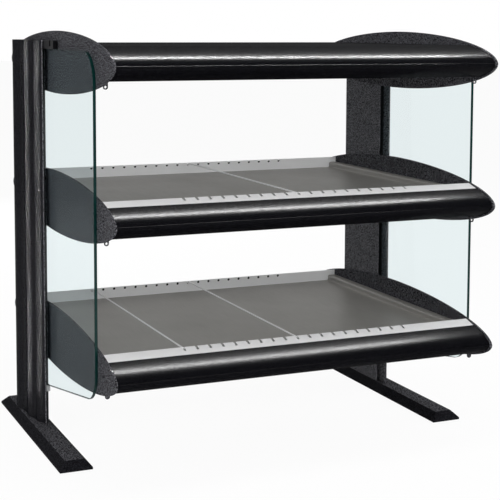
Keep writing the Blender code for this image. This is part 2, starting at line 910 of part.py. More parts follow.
def heating_element(name, height):
    """A hairpin of sheathed tube whose two ends meet the trough's end wall."""
    level = pan_bottom(height) + trough_depth - element_drop
    near_end = -trough_half_length + fit_gap
    bend = arc((element_far_end, element_place), element_bend_radius, -pi / 2, pi / 2, corner_steps)
    route = [(near_end, bend[0][1]), *bend, (near_end, bend[-1][1])]
    curve = bpy.data.curves.new(name, "CURVE")
    curve.dimensions = "3D"
    curve.bevel_depth = element_radius
    curve.bevel_resolution = 2
    curve.use_fill_caps = True
    spline = curve.splines.new("POLY")
    spline.points.add(len(route) - 1)
    for point, (x, y) in zip(spline.points, route):
        point.co = (x, y, 0, 1)
    drawn = bpy.data.objects.new(name, curve)
    drawn.matrix_world = Matrix.Translation((0, 0, level))
    return finish(solid_from_curve(drawn, name, parts), "element_steel")


def lamp(name, height):
    """A tubular lamp between ceramic ends that meet the trough's end walls."""
    level = pan_bottom(height) + trough_depth - lamp_drop
    end = trough_half_length - fit_gap
    shoulder = end - lamp_end_length
    half = [(0, end), (lamp_end_radius, end), (lamp_end_radius, shoulder), (lamp_radius, shoulder)]
    profile = [*half, *[(radius, -along) for radius, along in reversed(half)]]
    return finish(turned(name, profile, (1, 0, 0), (0, lamp_place, level), hole_sides), "lamp_glass")


def element_guard(name, height):
    """A flat grille under the trough."""
    top = pan_bottom(height) - fit_gap
    columns, rows = guard_cells
    cell_x = (2 * guard_half_length - guard_bar) / columns
    cell_y = (2 * guard_half_width - guard_bar) / rows
    outlines = [rectangle((-guard_half_length, guard_half_length), (-guard_half_width, guard_half_width))]
    for column in range(columns):
        for row in range(rows):
            x = -guard_half_length + guard_bar + column * cell_x
            y = -guard_half_width + guard_bar + row * cell_y
            outlines.append(rectangle((x, x + cell_x - guard_bar), (y, y + cell_y - guard_bar)))
    return finish(extruded(name, outlines, "z", top - guard_thickness, top), "steel")


def control_solid(name, height, margin, y_span, group):
    """A block behind the outline of a control plate, drawn in by a margin."""
    reach = control_plate_margin - margin
    half_height = control_plate_half_height - margin
    x_span = (switch_place - reach, knob_place + reach)
    return box(name, x_span, y_span, (height - half_height, height + half_height), group)


def control_box(name, height):
    """A plate on the rail's face and a box behind it, with a rocker's well and a bore for a knob."""
    plate = control_solid(name, height, 0, (control_back, control_front), parts)
    body_span = (control_back - control_box_depth, control_back + control_plate_thickness / 2)
    body = control_solid(name + "_body", height, control_box_margin, body_span, cutters)
    combine(plate, body, "UNION")
    well_x = rocker_width / 2 + fit_gap
    well_z = rocker_half_length + rocker_well_margin
    well = box(
        name + "_well",
        (switch_place - well_x, switch_place + well_x),
        (control_front - rocker_well_depth, control_front + cut_overrun),
        (height - well_z, height + well_z),
        cutters,
    )
    combine(plate, well)
    bore_length = knob_shaft_length + cut_overrun + cut_overrun
    centre = (knob_place, control_front + cut_overrun - bore_length / 2, height)
    bore = cylinder(name + "_bore", "y", centre, bore_length, knob_shaft_radius + fit_gap)
    combine(plate, bore)
    return finish(plate, "black_plastic")


def rocker(name, height):
    """A rocker with a hollow crown, at rest with its top end out, on its pivot."""
    half = rocker_half_length
    section = [
        (-half, rocker_crown),
        (0, rocker_valley),
        (half, rocker_crown),
        (half, -rocker_pivot_depth / 4),
        (half / 3, -rocker_pivot_depth),
        (-half / 3, -rocker_pivot_depth),
        (-half, -rocker_pivot_depth / 4),
    ]
    outline = [(out, up) for up, out in section]
    paddle = extruded(name, [outline], "x", -rocker_width / 2, rocker_width / 2)
    pivot_y = control_front - rocker_pivot_depth
    tilt = Matrix.Rotation(-rocker_tilt, 4, "X")
    place = Matrix.Translation((switch_place, pivot_y, height))
    paddle.matrix_world = place @ tilt @ paddle.matrix_world
    return finish(paddle, "black_plastic")


def knob(name, height):
    """A skirted knob with its shaft; its origin is on its axis, at the plate's face."""
    crown = [(knob_radius * r, knob_height * h) for r, h in knob_profile_shares]
    profile = [
        *crown,
        (knob_radius, fit_gap),
        (knob_shaft_radius, fit_gap),
        (knob_shaft_radius, fit_gap - knob_shaft_length),
        (0, fit_gap - knob_shaft_length),
    ]
    piece = turned(name, profile, (0, 1, 0), (knob_place, control_front, height))
    half_width, rise = knob_pointer[0] / 2, knob_pointer[1]
    crown_radius = knob_radius * knob_profile_shares[1][0]
    face = control_front + knob_height
    pointer = box(
        name + "_pointer",
        (knob_place - half_width, knob_place + half_width),
        (face - rise, face + rise),
        (height, height + crown_radius),
        cutters,
    )
    combine(piece, pointer, "UNION")
    return finish(piece, "black_plastic")


def cord_gland():
    """A collar, a neck through the rail and a nut behind it, with a bore for the cord."""
    inner = control_face - rail_wall - web_stub - fit_gap
    top = fit_gap + gland_collar_length
    nut = inner - control_face
    bottom = nut - gland_nut_length
    profile = [
        (gland_bore_radius, top),
        (gland_body_radius, top),
        (gland_collar_radius, top - gland_collar_length / 2),
        (gland_collar_radius, fit_gap),
        (gland_body_radius, fit_gap),
        (gland_body_radius, nut),
        (gland_collar_radius, nut),
        (gland_collar_radius, bottom),
        (gland_bore_radius, bottom),
    ]
    place = (gland_place, control_face, tiers["low"])
    gland = turned("cord_gland", profile, (0, 1, 0), place, closed=True)
    return finish(gland, "black_plastic")


def build_frame():
    for word, side in sides.items():
        foot(word + "_foot", side)
        foot_pad(word + "_foot_pad", side)
        upright(word + "_upright", side)
        upright_plug(word + "_upright_plug", side)
        glass(word + "_glass", side)
        gasket(word + "_gasket", side)
        glass_rest(word + "_glass_rest", side)
        glass_retainer(word + "_glass_retainer", side)
        for tier, height in tiers.items():
            end_cap(tier + "_" + word + "_cap", side, height, tier != "low")


def build_canopy():
    height = tiers["canopy"]
    seat = (cover_thickness + fit_gap, cover_seat)
    front_rail("canopy_front_rail", height, cover_reach, *seat)
    rear_rail("canopy_rear_rail", height, cover_reach, *seat, False)
    canopy_cover()


def build_shelf(tier):
    height = tiers[tier]
    front_rail(tier + "_front_rail", height, lip_front + fit_gap, lip_sheet + fit_gap, lip_seat)
    rear_rail(tier + "_rear_rail", height, rear_rail_end, 0, 0, tier == "low")
    tray(tier + "_tray", height)
    back_strip(tier + "_back_strip", height)
    slotted_lip(tier + "_slotted_lip", height)
    heat_blanket(tier + "_heat_blanket", height)


def build_heater(tier):
    height = tiers[tier]
    heat_pan(tier + "_heat_pan", height)
    heating_element(tier + "_heating_element", height)
    lamp(tier + "_lamp", height)
    element_guard(tier + "_element_guard", height)


def build_controls():
    cord_gland()
    for tier, height in tiers.items():
        control_box(tier + "_control_box", height)
        rocker(tier + "_rocker", height)
        knob(tier + "_knob", height)


build_frame()
build_canopy()
build_shelf("mid")
build_shelf("low")
build_heater("canopy")
build_heater("mid")
finish(base_plate("low_base_plate", tiers["low"], pan_sheet), "tray_grey")
for divider_name, slot_index in mid_dividers.items():
    divider(divider_name, tiers["mid"], slot_index)
for divider_name, slot_index in low_dividers.items():
    divider(divider_name, tiers["low"], slot_index)
build_controls()
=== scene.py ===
"""Looks of a heated merchandiser: two heated shelves under a heated canopy, between glass side panels.

Metres, +Z up, front towards -Y. Places come from the frame's boxes, sizes are named beside their piece.
"""

import bmesh
import bpy
import numpy as np
from mathutils import Matrix, Vector
from mathutils.geometry import tessellate_polygon


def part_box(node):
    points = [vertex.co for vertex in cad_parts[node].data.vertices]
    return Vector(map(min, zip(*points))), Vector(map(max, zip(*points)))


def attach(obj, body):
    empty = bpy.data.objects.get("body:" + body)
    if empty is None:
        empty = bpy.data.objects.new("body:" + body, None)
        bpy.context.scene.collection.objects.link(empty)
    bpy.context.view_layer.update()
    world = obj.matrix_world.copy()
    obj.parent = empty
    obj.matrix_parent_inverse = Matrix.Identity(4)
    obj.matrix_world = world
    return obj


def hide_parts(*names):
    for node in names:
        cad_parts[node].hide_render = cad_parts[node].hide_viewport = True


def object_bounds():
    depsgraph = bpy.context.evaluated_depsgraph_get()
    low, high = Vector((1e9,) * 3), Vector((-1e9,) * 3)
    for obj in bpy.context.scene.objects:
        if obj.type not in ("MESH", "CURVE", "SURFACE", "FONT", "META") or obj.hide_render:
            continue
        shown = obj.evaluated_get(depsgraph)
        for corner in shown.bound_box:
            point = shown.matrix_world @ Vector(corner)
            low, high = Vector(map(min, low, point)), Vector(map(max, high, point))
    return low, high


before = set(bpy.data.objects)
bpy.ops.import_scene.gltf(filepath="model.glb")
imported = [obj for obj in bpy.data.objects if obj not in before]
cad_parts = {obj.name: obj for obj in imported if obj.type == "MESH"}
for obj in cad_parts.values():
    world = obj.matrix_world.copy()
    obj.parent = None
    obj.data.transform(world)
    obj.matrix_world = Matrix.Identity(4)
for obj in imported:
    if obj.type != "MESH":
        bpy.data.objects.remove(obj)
cad_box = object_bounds()
scene = bpy.context.scene


# Camera
# It stands where the photographer stood: left of the middle, level with the canopy, looking down a little.
# Focal length and shift are in pixels of the 500 pixel frame.
photo_size = 500
focal_pixels = 1285.8
axis_pixel_y = 147.5
camera_place = (-1.0345, -2.4551, 0.8240)
camera_yaw = np.radians(23.425)
camera_pitch = np.radians(-5.255)
camera_roll = np.radians(0.206)

camera = bpy.data.objects.new("camera", bpy.data.cameras.new("camera"))
scene.collection.objects.link(camera)
camera.data.sensor_width = 36
camera.data.lens = camera.data.sensor_width * focal_pixels / photo_size
camera.data.shift_y = axis_pixel_y / photo_size - 0.5
camera.data.clip_end = 200
heading = Matrix.Rotation(-camera_yaw, 4, "Z")
tilt = Matrix.Rotation(np.pi / 2 + camera_pitch, 4, "X")
camera.matrix_world = Matrix.Translation(camera_place) @ heading @ tilt @ Matrix.Rotation(camera_roll, 4, "Z")
scene.camera = camera


# Floor, background and lights
# A white sweep under a white sky, with softboxes overhead and on all four sides. Two more lamps only gleam in
# the black coat: a long strip above the back for the rails and a tall one at the left for the flutes.
floor_half = 30.0
floor_colour = (0.93, 0.93, 0.93)
floor_glow = 0.94
sky_strength = 0.38
softboxes = {
    "overhead_light": ((1.6, 0.8), (0.0, -0.7, 2.3), 17),
    "front_light": ((1.8, 1.2), (0.0, -3.5, 1.3), 46),
    "back_light": ((1.8, 1.2), (0.0, 3.5, 1.3), 46),
    "left_light": ((1.4, 1.8), (-2.6, -0.9, 1.3), 20),
    "right_light": ((1.4, 1.8), (2.6, -0.9, 1.3), 20),
}
gleams = {
    "strip_light": ((3.0, 0.24), (0.6, 1.33, 2.97), (0.6, -0.35, 0.48), 720),
    "flute_light": ((1.7, 1.7), (-2.86, 1.10, 0.15), (-0.45, 0.13, 0.15), 170),
}

scene.view_settings.view_transform = "Standard"
world = bpy.data.worlds.new("sky")
world.use_nodes = True
scene.world = world
tree = world.node_tree
sky = tree.nodes["Background"]
sky.inputs["Color"].default_value = (1, 1, 1, 1)
seen = tree.nodes.new("ShaderNodeLightPath")
either = tree.nodes.new("ShaderNodeMath")
either.operation = "MAXIMUM"
tree.links.new(seen.outputs["Is Camera Ray"], either.inputs[0])
tree.links.new(seen.outputs["Is Transmission Ray"], either.inputs[1])
strength = tree.nodes.new("ShaderNodeMapRange")
strength.inputs["To Min"].default_value = sky_strength
strength.inputs["To Max"].default_value = 1.0
tree.links.new(either.outputs[0], strength.inputs["Value"])
tree.links.new(strength.outputs["Result"], sky.inputs["Strength"])

bpy.ops.mesh.primitive_plane_add(size=2 * floor_half, location=(0, 0, cad_box[0][2]))
floor = bpy.context.object
floor.name = "floor"
floor_finish = bpy.data.materials.new("floor_white")
floor_finish.use_nodes = True
floor_shader = floor_finish.node_tree.nodes["Principled BSDF"]
floor_shader.inputs["Base Color"].default_value = (*floor_colour, 1)
floor_shader.inputs["Roughness"].default_value = 0.9
floor_shader.inputs["Specular IOR Level"].default_value = 0.0
floor_tree = floor_finish.node_tree
floor_seen = floor_tree.nodes.new("ShaderNodeLightPath")
floor_either = floor_tree.nodes.new("ShaderNodeMath")
floor_either.operation = "MAXIMUM"
floor_tree.links.new(floor_seen.outputs["Is Camera Ray"], floor_either.inputs[0])
floor_tree.links.new(floor_seen.outputs["Is Transmission Ray"], floor_either.inputs[1])
floor_share = floor_tree.nodes.new("ShaderNodeMath")
floor_share.operation = "MULTIPLY"
floor_share.inputs[1].default_value = floor_glow
floor_tree.links.new(floor_either.outputs[0], floor_share.inputs[0])
glow = floor_tree.nodes.new("ShaderNodeEmission")
paper = floor_tree.nodes.new("ShaderNodeMixShader")
floor_tree.links.new(floor_share.outputs[0], paper.inputs["Fac"])
floor_tree.links.new(floor_shader.outputs["BSDF"], paper.inputs[1])
floor_tree.links.new(glow.outputs["Emission"], paper.inputs[2])
floor_tree.links.new(paper.outputs["Shader"], floor_tree.nodes["Material Output"].inputs["Surface"])
floor.data.materials.append(floor_finish)


def softbox(name, size, place, target, power):
    """A rectangular lamp that faces its target."""
    lamp = bpy.data.objects.new(name, bpy.data.lights.new(name, "AREA"))
    lamp.data.shape = "RECTANGLE"
    lamp.data.size, lamp.data.size_y = size
    lamp.data.energy = power
    lamp.location = place
    lamp.rotation_euler = (Vector(target) - Vector(place)).to_track_quat("-Z", "Y").to_euler()
    scene.collection.objects.link(lamp)
    return lamp


middle = (0, 0, 0.5)
for name, (size, place, power) in softboxes.items():
    softbox(name, size, place, middle, power).visible_glossy = False
black_pieces = bpy.data.collections.new("black_pieces")
for name, (size, place, target, power) in gleams.items():
    gleam = softbox(name, size, place, target, power)
    gleam.visible_diffuse = False
    gleam.light_linking.receiver_collection = black_pieces
    gleam.data.use_shadow = False
    gleam.data.cycles.use_multiple_importance_sampling = False


# Feet
# Each foot is a long steel block with its top drawn in by a wide chamfer, in the black coat of the whole frame:
# a baked powder coat, grainy to the eye, with fine pale flecks and a clear top layer. Its sides and chamfers take a
# darker, glossier copy of that coat with few flecks: painted shade.
foot_top = 0.020
foot_edge_height = 0.006
foot_chamfer = 0.014
foot_rounding = 0.0010
coat_black = (0.0030, 0.0030, 0.0036)
coat_fleck = (0.185, 0.185, 0.205)
# The next two colours make a darker copy of the black coat with few flecks: painted shade on the feet's sides and
# chamfers and on the uprights' fluted outer side.
painted_shade_black = (0.0020, 0.0020, 0.0026)
painted_shade_fleck = (0.030, 0.030, 0.036)
sides = {"left": -1, "right": 1}


def quads(rows, columns):
    """Four-sided faces of a grid whose rows are closed rings."""
    row, column = np.meshgrid(np.arange(rows - 1), np.arange(columns), indexing="ij")
    after = (column + 1) % columns
    corners = [row * columns + column, row * columns + after, (row + 1) * columns + after, (row + 1) * columns + column]
    return np.stack(corners, -1).reshape(-1, 4)


def piece(name, points, faces, finish, crease=35):
    """A closed mesh object at the origin, its doubles merged and its faces turned outwards."""
    mesh = bpy.data.meshes.new(name)
    mesh.from_pydata(np.asarray(points).tolist(), [], [list(face) for face in faces])
    shape = bmesh.new()
    shape.from_mesh(mesh)
    bmesh.ops.remove_doubles(shape, verts=shape.verts, dist=0.000001)
    bmesh.ops.recalc_face_normals(shape, faces=shape.faces)
    shape.to_mesh(mesh)
    shape.free()
    mesh.shade_smooth()
    mesh.set_sharp_from_angle(angle=np.radians(crease))
    mesh.materials.append(finish)
    made = bpy.data.objects.new(name, mesh)
    scene.collection.objects.link(made)
    if finish.name.endswith("powder_coat"):
        black_pieces.objects.link(made)
    flats = made.modifiers.new("flats", "WEIGHTED_NORMAL")
    flats.keep_sharp = True
    return made


def bevelled(made, width, segments=3):
    """Rounds the sharp edges of a piece."""
    made.modifiers.clear()
    bevel = made.modifiers.new("rounding", "BEVEL")
    bevel.width = width
    bevel.segments = segments
    bevel.limit_method = "ANGLE"
    bevel.angle_limit = np.radians(30)
    bevel.harden_normals = True
    return made


def stacked(rings):
    """Rings of points joined one to the next, with a flat face over the first and the last."""
    rows, columns = rings.shape[:2]
    faces = quads(rows, columns).tolist()
    first = list(range(columns))
    faces += [first, [(rows - 1) * columns + index for index in first]]
    return rings.reshape(-1, 3), faces


def shader_group(name, inputs, outputs):
    """An empty shader node group with number, colour and vector sockets."""
    kinds = {"number": "NodeSocketFloat", "colour": "NodeSocketColor", "vector": "NodeSocketVector"}
    group = bpy.data.node_groups.new(name, "ShaderNodeTree")
    for socket, kind in inputs.items():
        group.interface.new_socket(socket, in_out="INPUT", socket_type=kinds[kind])
    for socket, kind in outputs.items():
        group.interface.new_socket(socket, in_out="OUTPUT", socket_type=kinds[kind])
    return group, group.nodes.new("NodeGroupInput"), group.nodes.new("NodeGroupOutput")


def node(tree, kind, values=(), **settings):
    """A node with its settings and its input values."""
    made = tree.nodes.new(kind)
    for key, value in settings.items():
        setattr(made, key, value)
    for socket, value in dict(values).items():
        made.inputs[socket].default_value = value
    return made


def join(tree, *pairs):
    for output, socket in pairs:
        tree.links.new(output, socket)


def powder_group():
    """Powder coat: a soft mottle, dense fine grain, and pale flecks where a fine noise peaks."""
    group, given, result = shader_group(
        "powder_grain",
        {
            "Place": "vector", "Dark": "colour", "Fleck": "colour", "Grain": "number", "Flecks": "number",
            "Shiny": "number", "Dull": "number", "Least Coat": "number", "Most Coat": "number",
        },
        {"Colour": "colour", "Roughness": "number", "Coat": "number", "Height": "number"},
    )
    grain = node(group, "ShaderNodeTexNoise", {"Detail": 1.0, "Roughness": 0.5})
    fine_scale = node(group, "ShaderNodeMath", {1: 1.9}, operation="MULTIPLY")
    fine = node(group, "ShaderNodeTexNoise", {"Detail": 0.0})
    peak = node(group, "ShaderNodeMapRange", {"From Min": 0.55, "From Max": 0.68})
    share = node(group, "ShaderNodeMath", operation="MULTIPLY", use_clamp=True)
    tone = node(group, "ShaderNodeMix", data_type="RGBA")
    spread = node(group, "ShaderNodeMapRange", {"From Min": 0.44, "From Max": 0.66, "To Min": 0.0, "To Max": 0.5})
    deep = node(group, "ShaderNodeMix", data_type="RGBA")
    gloss = node(group, "ShaderNodeMix", data_type="FLOAT")
    wet = node(group, "ShaderNodeMapRange", {"From Min": 0.40, "From Max": 0.64})
    join(
        group,
        (given.outputs["Place"], grain.inputs["Vector"]),
        (given.outputs["Grain"], grain.inputs["Scale"]),
        (given.outputs["Grain"], fine_scale.inputs[0]),
        (given.outputs["Place"], fine.inputs["Vector"]),
        (fine_scale.outputs[0], fine.inputs["Scale"]),
        (fine.outputs["Fac"], peak.inputs["Value"]),
        (peak.outputs["Result"], share.inputs[0]),
        (given.outputs["Flecks"], share.inputs[1]),
        (grain.outputs["Fac"], spread.inputs["Value"]),
        (spread.outputs["Result"], deep.inputs["Factor"]),
        (given.outputs["Dark"], deep.inputs["A"]),
        (given.outputs["Fleck"], deep.inputs["B"]),
        (share.outputs[0], tone.inputs["Factor"]),
        (deep.outputs["Result"], tone.inputs["A"]),
        (given.outputs["Fleck"], tone.inputs["B"]),
        (tone.outputs["Result"], result.inputs["Colour"]),
        (grain.outputs["Fac"], gloss.inputs["Factor"]),
        (given.outputs["Shiny"], gloss.inputs["A"]),
        (given.outputs["Dull"], gloss.inputs["B"]),
        (gloss.outputs["Result"], result.inputs["Roughness"]),
        (grain.outputs["Fac"], wet.inputs["Value"]),
        (given.outputs["Least Coat"], wet.inputs["To Min"]),
        (given.outputs["Most Coat"], wet.inputs["To Max"]),
        (wet.outputs["Result"], result.inputs["Coat"]),
        (grain.outputs["Fac"], result.inputs["Height"]),
    )
    return group


powder_grain = powder_group()


def new_finish(name, values):
    """A material with its Principled shader, a place input and the values that are the same all over."""
    finish = bpy.data.materials.new(name)
    finish.use_nodes = True
    tree = finish.node_tree
    shader = tree.nodes["Principled BSDF"]
    for socket, value in values.items():
        shader.inputs[socket].default_value = value
    place = tree.nodes.new("ShaderNodeTexCoord").outputs["Object"]
    return finish, tree, shader, place


def add_bump(tree, shader, height, distance, strength=1.0):
    bump = node(tree, "ShaderNodeBump", {"Strength": strength, "Distance": distance})
    join(tree, (height, bump.inputs["Height"]), (bump.outputs["Normal"], shader.inputs["Normal"]))


def coat_finish(name, dark, fleck, grain, flecks, gloss, coat, relief, values):
    """A powder coat of one colour, grain, gloss and relief, under a clear coat of uneven strength."""
    finish, tree, shader, place = new_finish(name, values)
    powder = node(tree, "ShaderNodeGroup", node_tree=powder_grain)
    powder.inputs["Dark"].default_value = (*dark, 1)
    powder.inputs["Fleck"].default_value = (*fleck, 1)
    numbers = {"Grain": grain, "Flecks": flecks, "Shiny": gloss[0], "Dull": gloss[1]}
    numbers |= {"Least Coat": coat[0], "Most Coat": coat[1]}
    for socket, value in numbers.items():
        powder.inputs[socket].default_value = value
    join(
        tree,
        (place, powder.inputs["Place"]),
        (powder.outputs["Colour"], shader.inputs["Base Color"]),
        (powder.outputs["Roughness"], shader.inputs["Roughness"]),
        (powder.outputs["Coat"], shader.inputs["Coat Weight"]),
    )
    add_bump(tree, shader, powder.outputs["Height"], relief)
    return finish


black_coat = coat_finish(
    "black_powder_coat", coat_black, coat_fleck, 310, 0.9, (0.38, 0.55), (0.02, 0.10), 0.000004,
    {"Specular IOR Level": 0.0, "Coat Roughness": 0.08},
)

# The same powder coat again, darker and with few flecks: painted shade on the faces it is given.
painted_shade_coat = coat_finish(
    "painted_shade_powder_coat", painted_shade_black, painted_shade_fleck, 480, 0.9, (0.30, 0.45), (0.055, 0.08), 0.000003,
    {"Specular IOR Level": 0.0, "Coat Roughness": 0.10},
)


def face_values(made, kind):
    """The normal or the centre of each face, one row each."""
    values = np.empty(3 * len(made.data.polygons), np.float32)
    made.data.polygons.foreach_get(kind, values)
    return values.reshape(-1, 3)


def second_finish(made, finish, chosen):
    """Gives the chosen faces of a piece another finish."""
    made.data.materials.append(finish)
    made.data.polygons.foreach_set("material_index", chosen.astype(np.int32))


for side, sign in sides.items():
    low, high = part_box(side + "_foot")
    levels = np.array([low[2], foot_edge_height, foot_top])
    draws = np.array([0, 0, foot_chamfer])
    x_corner = np.array([low[0], high[0], high[0], low[0]])
    y_corner = np.array([low[1], low[1], high[1], high[1]])
    inward_x = np.array([1, -1, -1, 1])
    inward_y = np.array([1, 1, -1, -1])
    rings = np.stack([
        x_corner + draws[:, None] * inward_x,
        y_corner + draws[:, None] * inward_y,
        np.repeat(levels[:, None], 4, 1),
    ], -1)
    foot = bevelled(piece(side + "_foot_block", *stacked(rings), black_coat), foot_rounding)
    # The sides and chamfers take the darker copy of the coat: painted shade.
    second_finish(foot, painted_shade_coat, np.abs(face_values(foot, "normal")[:, 2]) < 0.9)
    black_pieces.objects.unlink(foot)
    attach(foot, "frame")
    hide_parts(side + "_foot")


# Foot pads
# A strip of black rubber with round ends under each foot, pressed into a groove, a little crowned at its edge.
pad_rim = 0.0008
rubber_black = (0.020, 0.020, 0.020)


def rounded(corners, radii, steps=8, closed=True):
    """Each corner becomes an arc that touches both of its sides."""
    corners = np.asarray(corners, float)
    radii = np.broadcast_to(np.asarray(radii, float), len(corners))
    back = np.roll(corners, 1, 0) - corners
    ahead = np.roll(corners, -1, 0) - corners
    back /= np.linalg.norm(back, axis=1)[:, None]
    ahead /= np.linalg.norm(ahead, axis=1)[:, None]
    half = np.arccos(np.clip(np.sum(back * ahead, 1), -0.999999, 0.999999)) / 2
    reach = (radii / np.tan(half))[:, None]
    bisector = back + ahead
    bisector /= np.maximum(np.linalg.norm(bisector, axis=1), 1e-9)[:, None]
    centre = corners + bisector * (radii / np.sin(half))[:, None]
    first = corners + back * reach - centre
    last = corners + ahead * reach - centre
    sweep = (np.pi - 2 * half)[:, None, None]
    share = np.linspace(0, 1, steps)[None, :, None]
    arcs = (np.sin((1 - share) * sweep) * first[:, None] + np.sin(share * sweep) * last[:, None]) / np.sin(sweep)
    arcs = centre[:, None] + arcs
    if not closed:
        arcs[0] = corners[0]
        arcs[-1] = corners[-1]
    points = arcs.reshape(-1, 2)
    keep = np.append(True, np.linalg.norm(np.diff(points, axis=0), axis=1) > 1e-7)
    return points[keep]


def rectangle(u_span, v_span, radius=0.0, steps=8):
    corners = [(u_span[0], v_span[0]), (u_span[1], v_span[0]), (u_span[1], v_span[1]), (u_span[0], v_span[1])]
    return rounded(corners, radius, steps) if radius else np.array(corners, float)


def ring(centre, radius, steps=24):
    """Points of a circle."""
    angle = np.linspace(0, 2 * np.pi, steps, endpoint=False)
    return np.stack([centre[0] + radius * np.cos(angle), centre[1] + radius * np.sin(angle)], 1)


def carried(outlines, axis, start, end, rim, rim_steps=3):
    """A flat section carried along an axis. At both ends it draws in along its own normal by a quarter
    circle, and flat triangles close the ends round any holes."""
    turn = np.linspace(0, np.pi / 2, rim_steps + 1)
    heading = np.sign(end - start)
    sink = rim * (1 - np.cos(turn)) * heading
    along = np.concatenate([start + sink, (end - sink)[::-1]])
    draw = np.concatenate([rim * (1 - np.sin(turn)), (rim * (1 - np.sin(turn)))[::-1]])
    plane = {"x": [1, 2, 0], "y": [0, 2, 1], "z": [0, 1, 2]}[axis]
    points, faces, loops, starts = [], [], [], []
    count = 0
    for number, outline in enumerate(outlines):
        outline = np.asarray(outline, float)
        ahead = np.roll(outline, -1, 0)
        area = np.sum(outline[:, 0] * ahead[:, 1] - ahead[:, 0] * outline[:, 1])
        if (area > 0) == (number > 0):
            outline = outline[::-1]
            ahead = np.roll(outline, -1, 0)
        edge = ahead - outline
        edge /= np.linalg.norm(edge, axis=1)[:, None]
        inward = np.stack([-edge[:, 1], edge[:, 0]], 1)
        before = np.roll(inward, 1, 0)
        mitre = (inward + before) / np.maximum(1 + np.sum(inward * before, 1), 0.3)[:, None]
        drawn = outline[None] + draw[:, None, None] * mitre[None]
        rows, columns = drawn.shape[:2]
        grid = np.empty((rows * columns, 3))
        grid[:, plane[0]] = drawn[..., 0].ravel()
        grid[:, plane[1]] = drawn[..., 1].ravel()
        grid[:, plane[2]] = np.repeat(along, columns)
        points.append(grid)
        faces += (quads(rows, columns) + count).tolist()
        loops.append(drawn[0])
        starts.append((count, rows, columns))
        count += rows * columns
    near = np.concatenate([first + np.arange(columns) for first, rows, columns in starts])
    far = np.concatenate([first + (rows - 1) * columns + np.arange(columns) for first, rows, columns in starts])
    triangles = np.array(tessellate_polygon([[(u, v, 0.0) for u, v in loop] for loop in loops]))
    return np.concatenate(points), faces + near[triangles].tolist() + far[triangles].tolist()


def mottle_group():
    """Slight clouding of a plain surface: one noise moves its tone and its gloss, a finer one its height."""
    group, given, result = shader_group(
        "mottle",
        {"Place": "vector", "Tone": "colour", "Shade": "colour", "Scale": "number", "Dull": "number", "Shiny": "number"},
        {"Colour": "colour", "Roughness": "number", "Height": "number"},
    )
    cloud = node(group, "ShaderNodeTexNoise", {"Detail": 4.0, "Roughness": 0.6})
    finer = node(group, "ShaderNodeMath", {1: 9.0}, operation="MULTIPLY")
    texture = node(group, "ShaderNodeTexNoise", {"Detail": 3.0, "Roughness": 0.6})
    spread = node(group, "ShaderNodeMapRange", {"From Min": 0.3, "From Max": 0.7})
    tone = node(group, "ShaderNodeMix", data_type="RGBA")
    gloss = node(group, "ShaderNodeMix", data_type="FLOAT")
    join(
        group,
        (given.outputs["Place"], cloud.inputs["Vector"]),
        (given.outputs["Scale"], cloud.inputs["Scale"]),
        (given.outputs["Scale"], finer.inputs[0]),
        (given.outputs["Place"], texture.inputs["Vector"]),
        (finer.outputs[0], texture.inputs["Scale"]),
        (cloud.outputs["Fac"], spread.inputs["Value"]),
        (spread.outputs["Result"], tone.inputs["Factor"]),
        (given.outputs["Tone"], tone.inputs["A"]),
        (given.outputs["Shade"], tone.inputs["B"]),
        (spread.outputs["Result"], gloss.inputs["Factor"]),
        (given.outputs["Shiny"], gloss.inputs["A"]),
        (given.outputs["Dull"], gloss.inputs["B"]),
        (tone.outputs["Result"], result.inputs["Colour"]),
        (gloss.outputs["Result"], result.inputs["Roughness"]),
        (texture.outputs["Fac"], result.inputs["Height"]),
    )
    return group


mottle = mottle_group()


def mottled_finish(name, tone, shade, scale, shiny, dull, relief, values):
    """A plain moulded or cast finish with slight clouding."""
    finish, tree, shader, place = new_finish(name, values)
    cloud = node(tree, "ShaderNodeGroup", node_tree=mottle)
    for socket, value in {"Scale": scale, "Shiny": shiny, "Dull": dull}.items():
        cloud.inputs[socket].default_value = value
    cloud.inputs["Tone"].default_value = (*tone, 1)
    cloud.inputs["Shade"].default_value = (*shade, 1)
    join(
        tree,
        (place, cloud.inputs["Place"]),
        (cloud.outputs["Colour"], shader.inputs["Base Color"]),
        (cloud.outputs["Roughness"], shader.inputs["Roughness"]),
    )
    add_bump(tree, shader, cloud.outputs["Height"], relief)
    return finish


def darker(colour, share):
    return tuple(channel * share for channel in colour)


rubber = mottled_finish(
    "black_rubber", rubber_black, darker(rubber_black, 1.6), 60, 0.72, 0.88, 0.0002, {"Specular IOR Level": 0.3}
)

for side in sides:
    low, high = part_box(side + "_foot_pad")
    half_width = (high[0] - low[0]) / 2
    outline = rectangle((low[0], high[0]), (low[1], high[1]), half_width * 0.999, 16)
    pad = piece(side + "_rubber_pad", *carried([outline], "z", low[2], high[2], pad_rim), rubber)
    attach(pad, "frame")
    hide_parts(side + "_foot_pad")


# Uprights
# Aluminium extrusions: a flat inner face, a fluted outer side with three shallow hollows between ridges, a
# slot at the front for the glass, a hollow core and two round ports for the foot studs.
flute_ridges = ((0.0362, 0.195), (0.0318, 0.129), (0.0238, 0.086), (0.0131, 0.0605))
flute_share = 0.075
flute_steps = 14
nose_tip = (0.0116, 0.0585)
upright_back = 0.247
back_flat = 0.016
shoulder_start = 0.200
lip_front_edge = 0.084
lip_thickness = 0.0014
glass_slot_width = 0.0086
glass_slot_bottom = 0.108
core_depths = (0.0036, 0.0266)
core_span = (0.132, 0.226)
port_depth = 0.014
port_places = (0.120, 0.2365)
port_radius = 0.0032
extrusion_rim = 0.0004
flute_depth = 0.0125
upright_black = (0.0060, 0.0060, 0.0070)
upright_fleck = (0.310, 0.310, 0.338)

upright_coat = coat_finish(
    "upright_powder_coat", upright_black, upright_fleck, 400, 0.9, (0.30, 0.45), (0.02, 0.12), 0.000004,
    {"Specular IOR Level": 0.0, "Coat Roughness": 0.10},
)


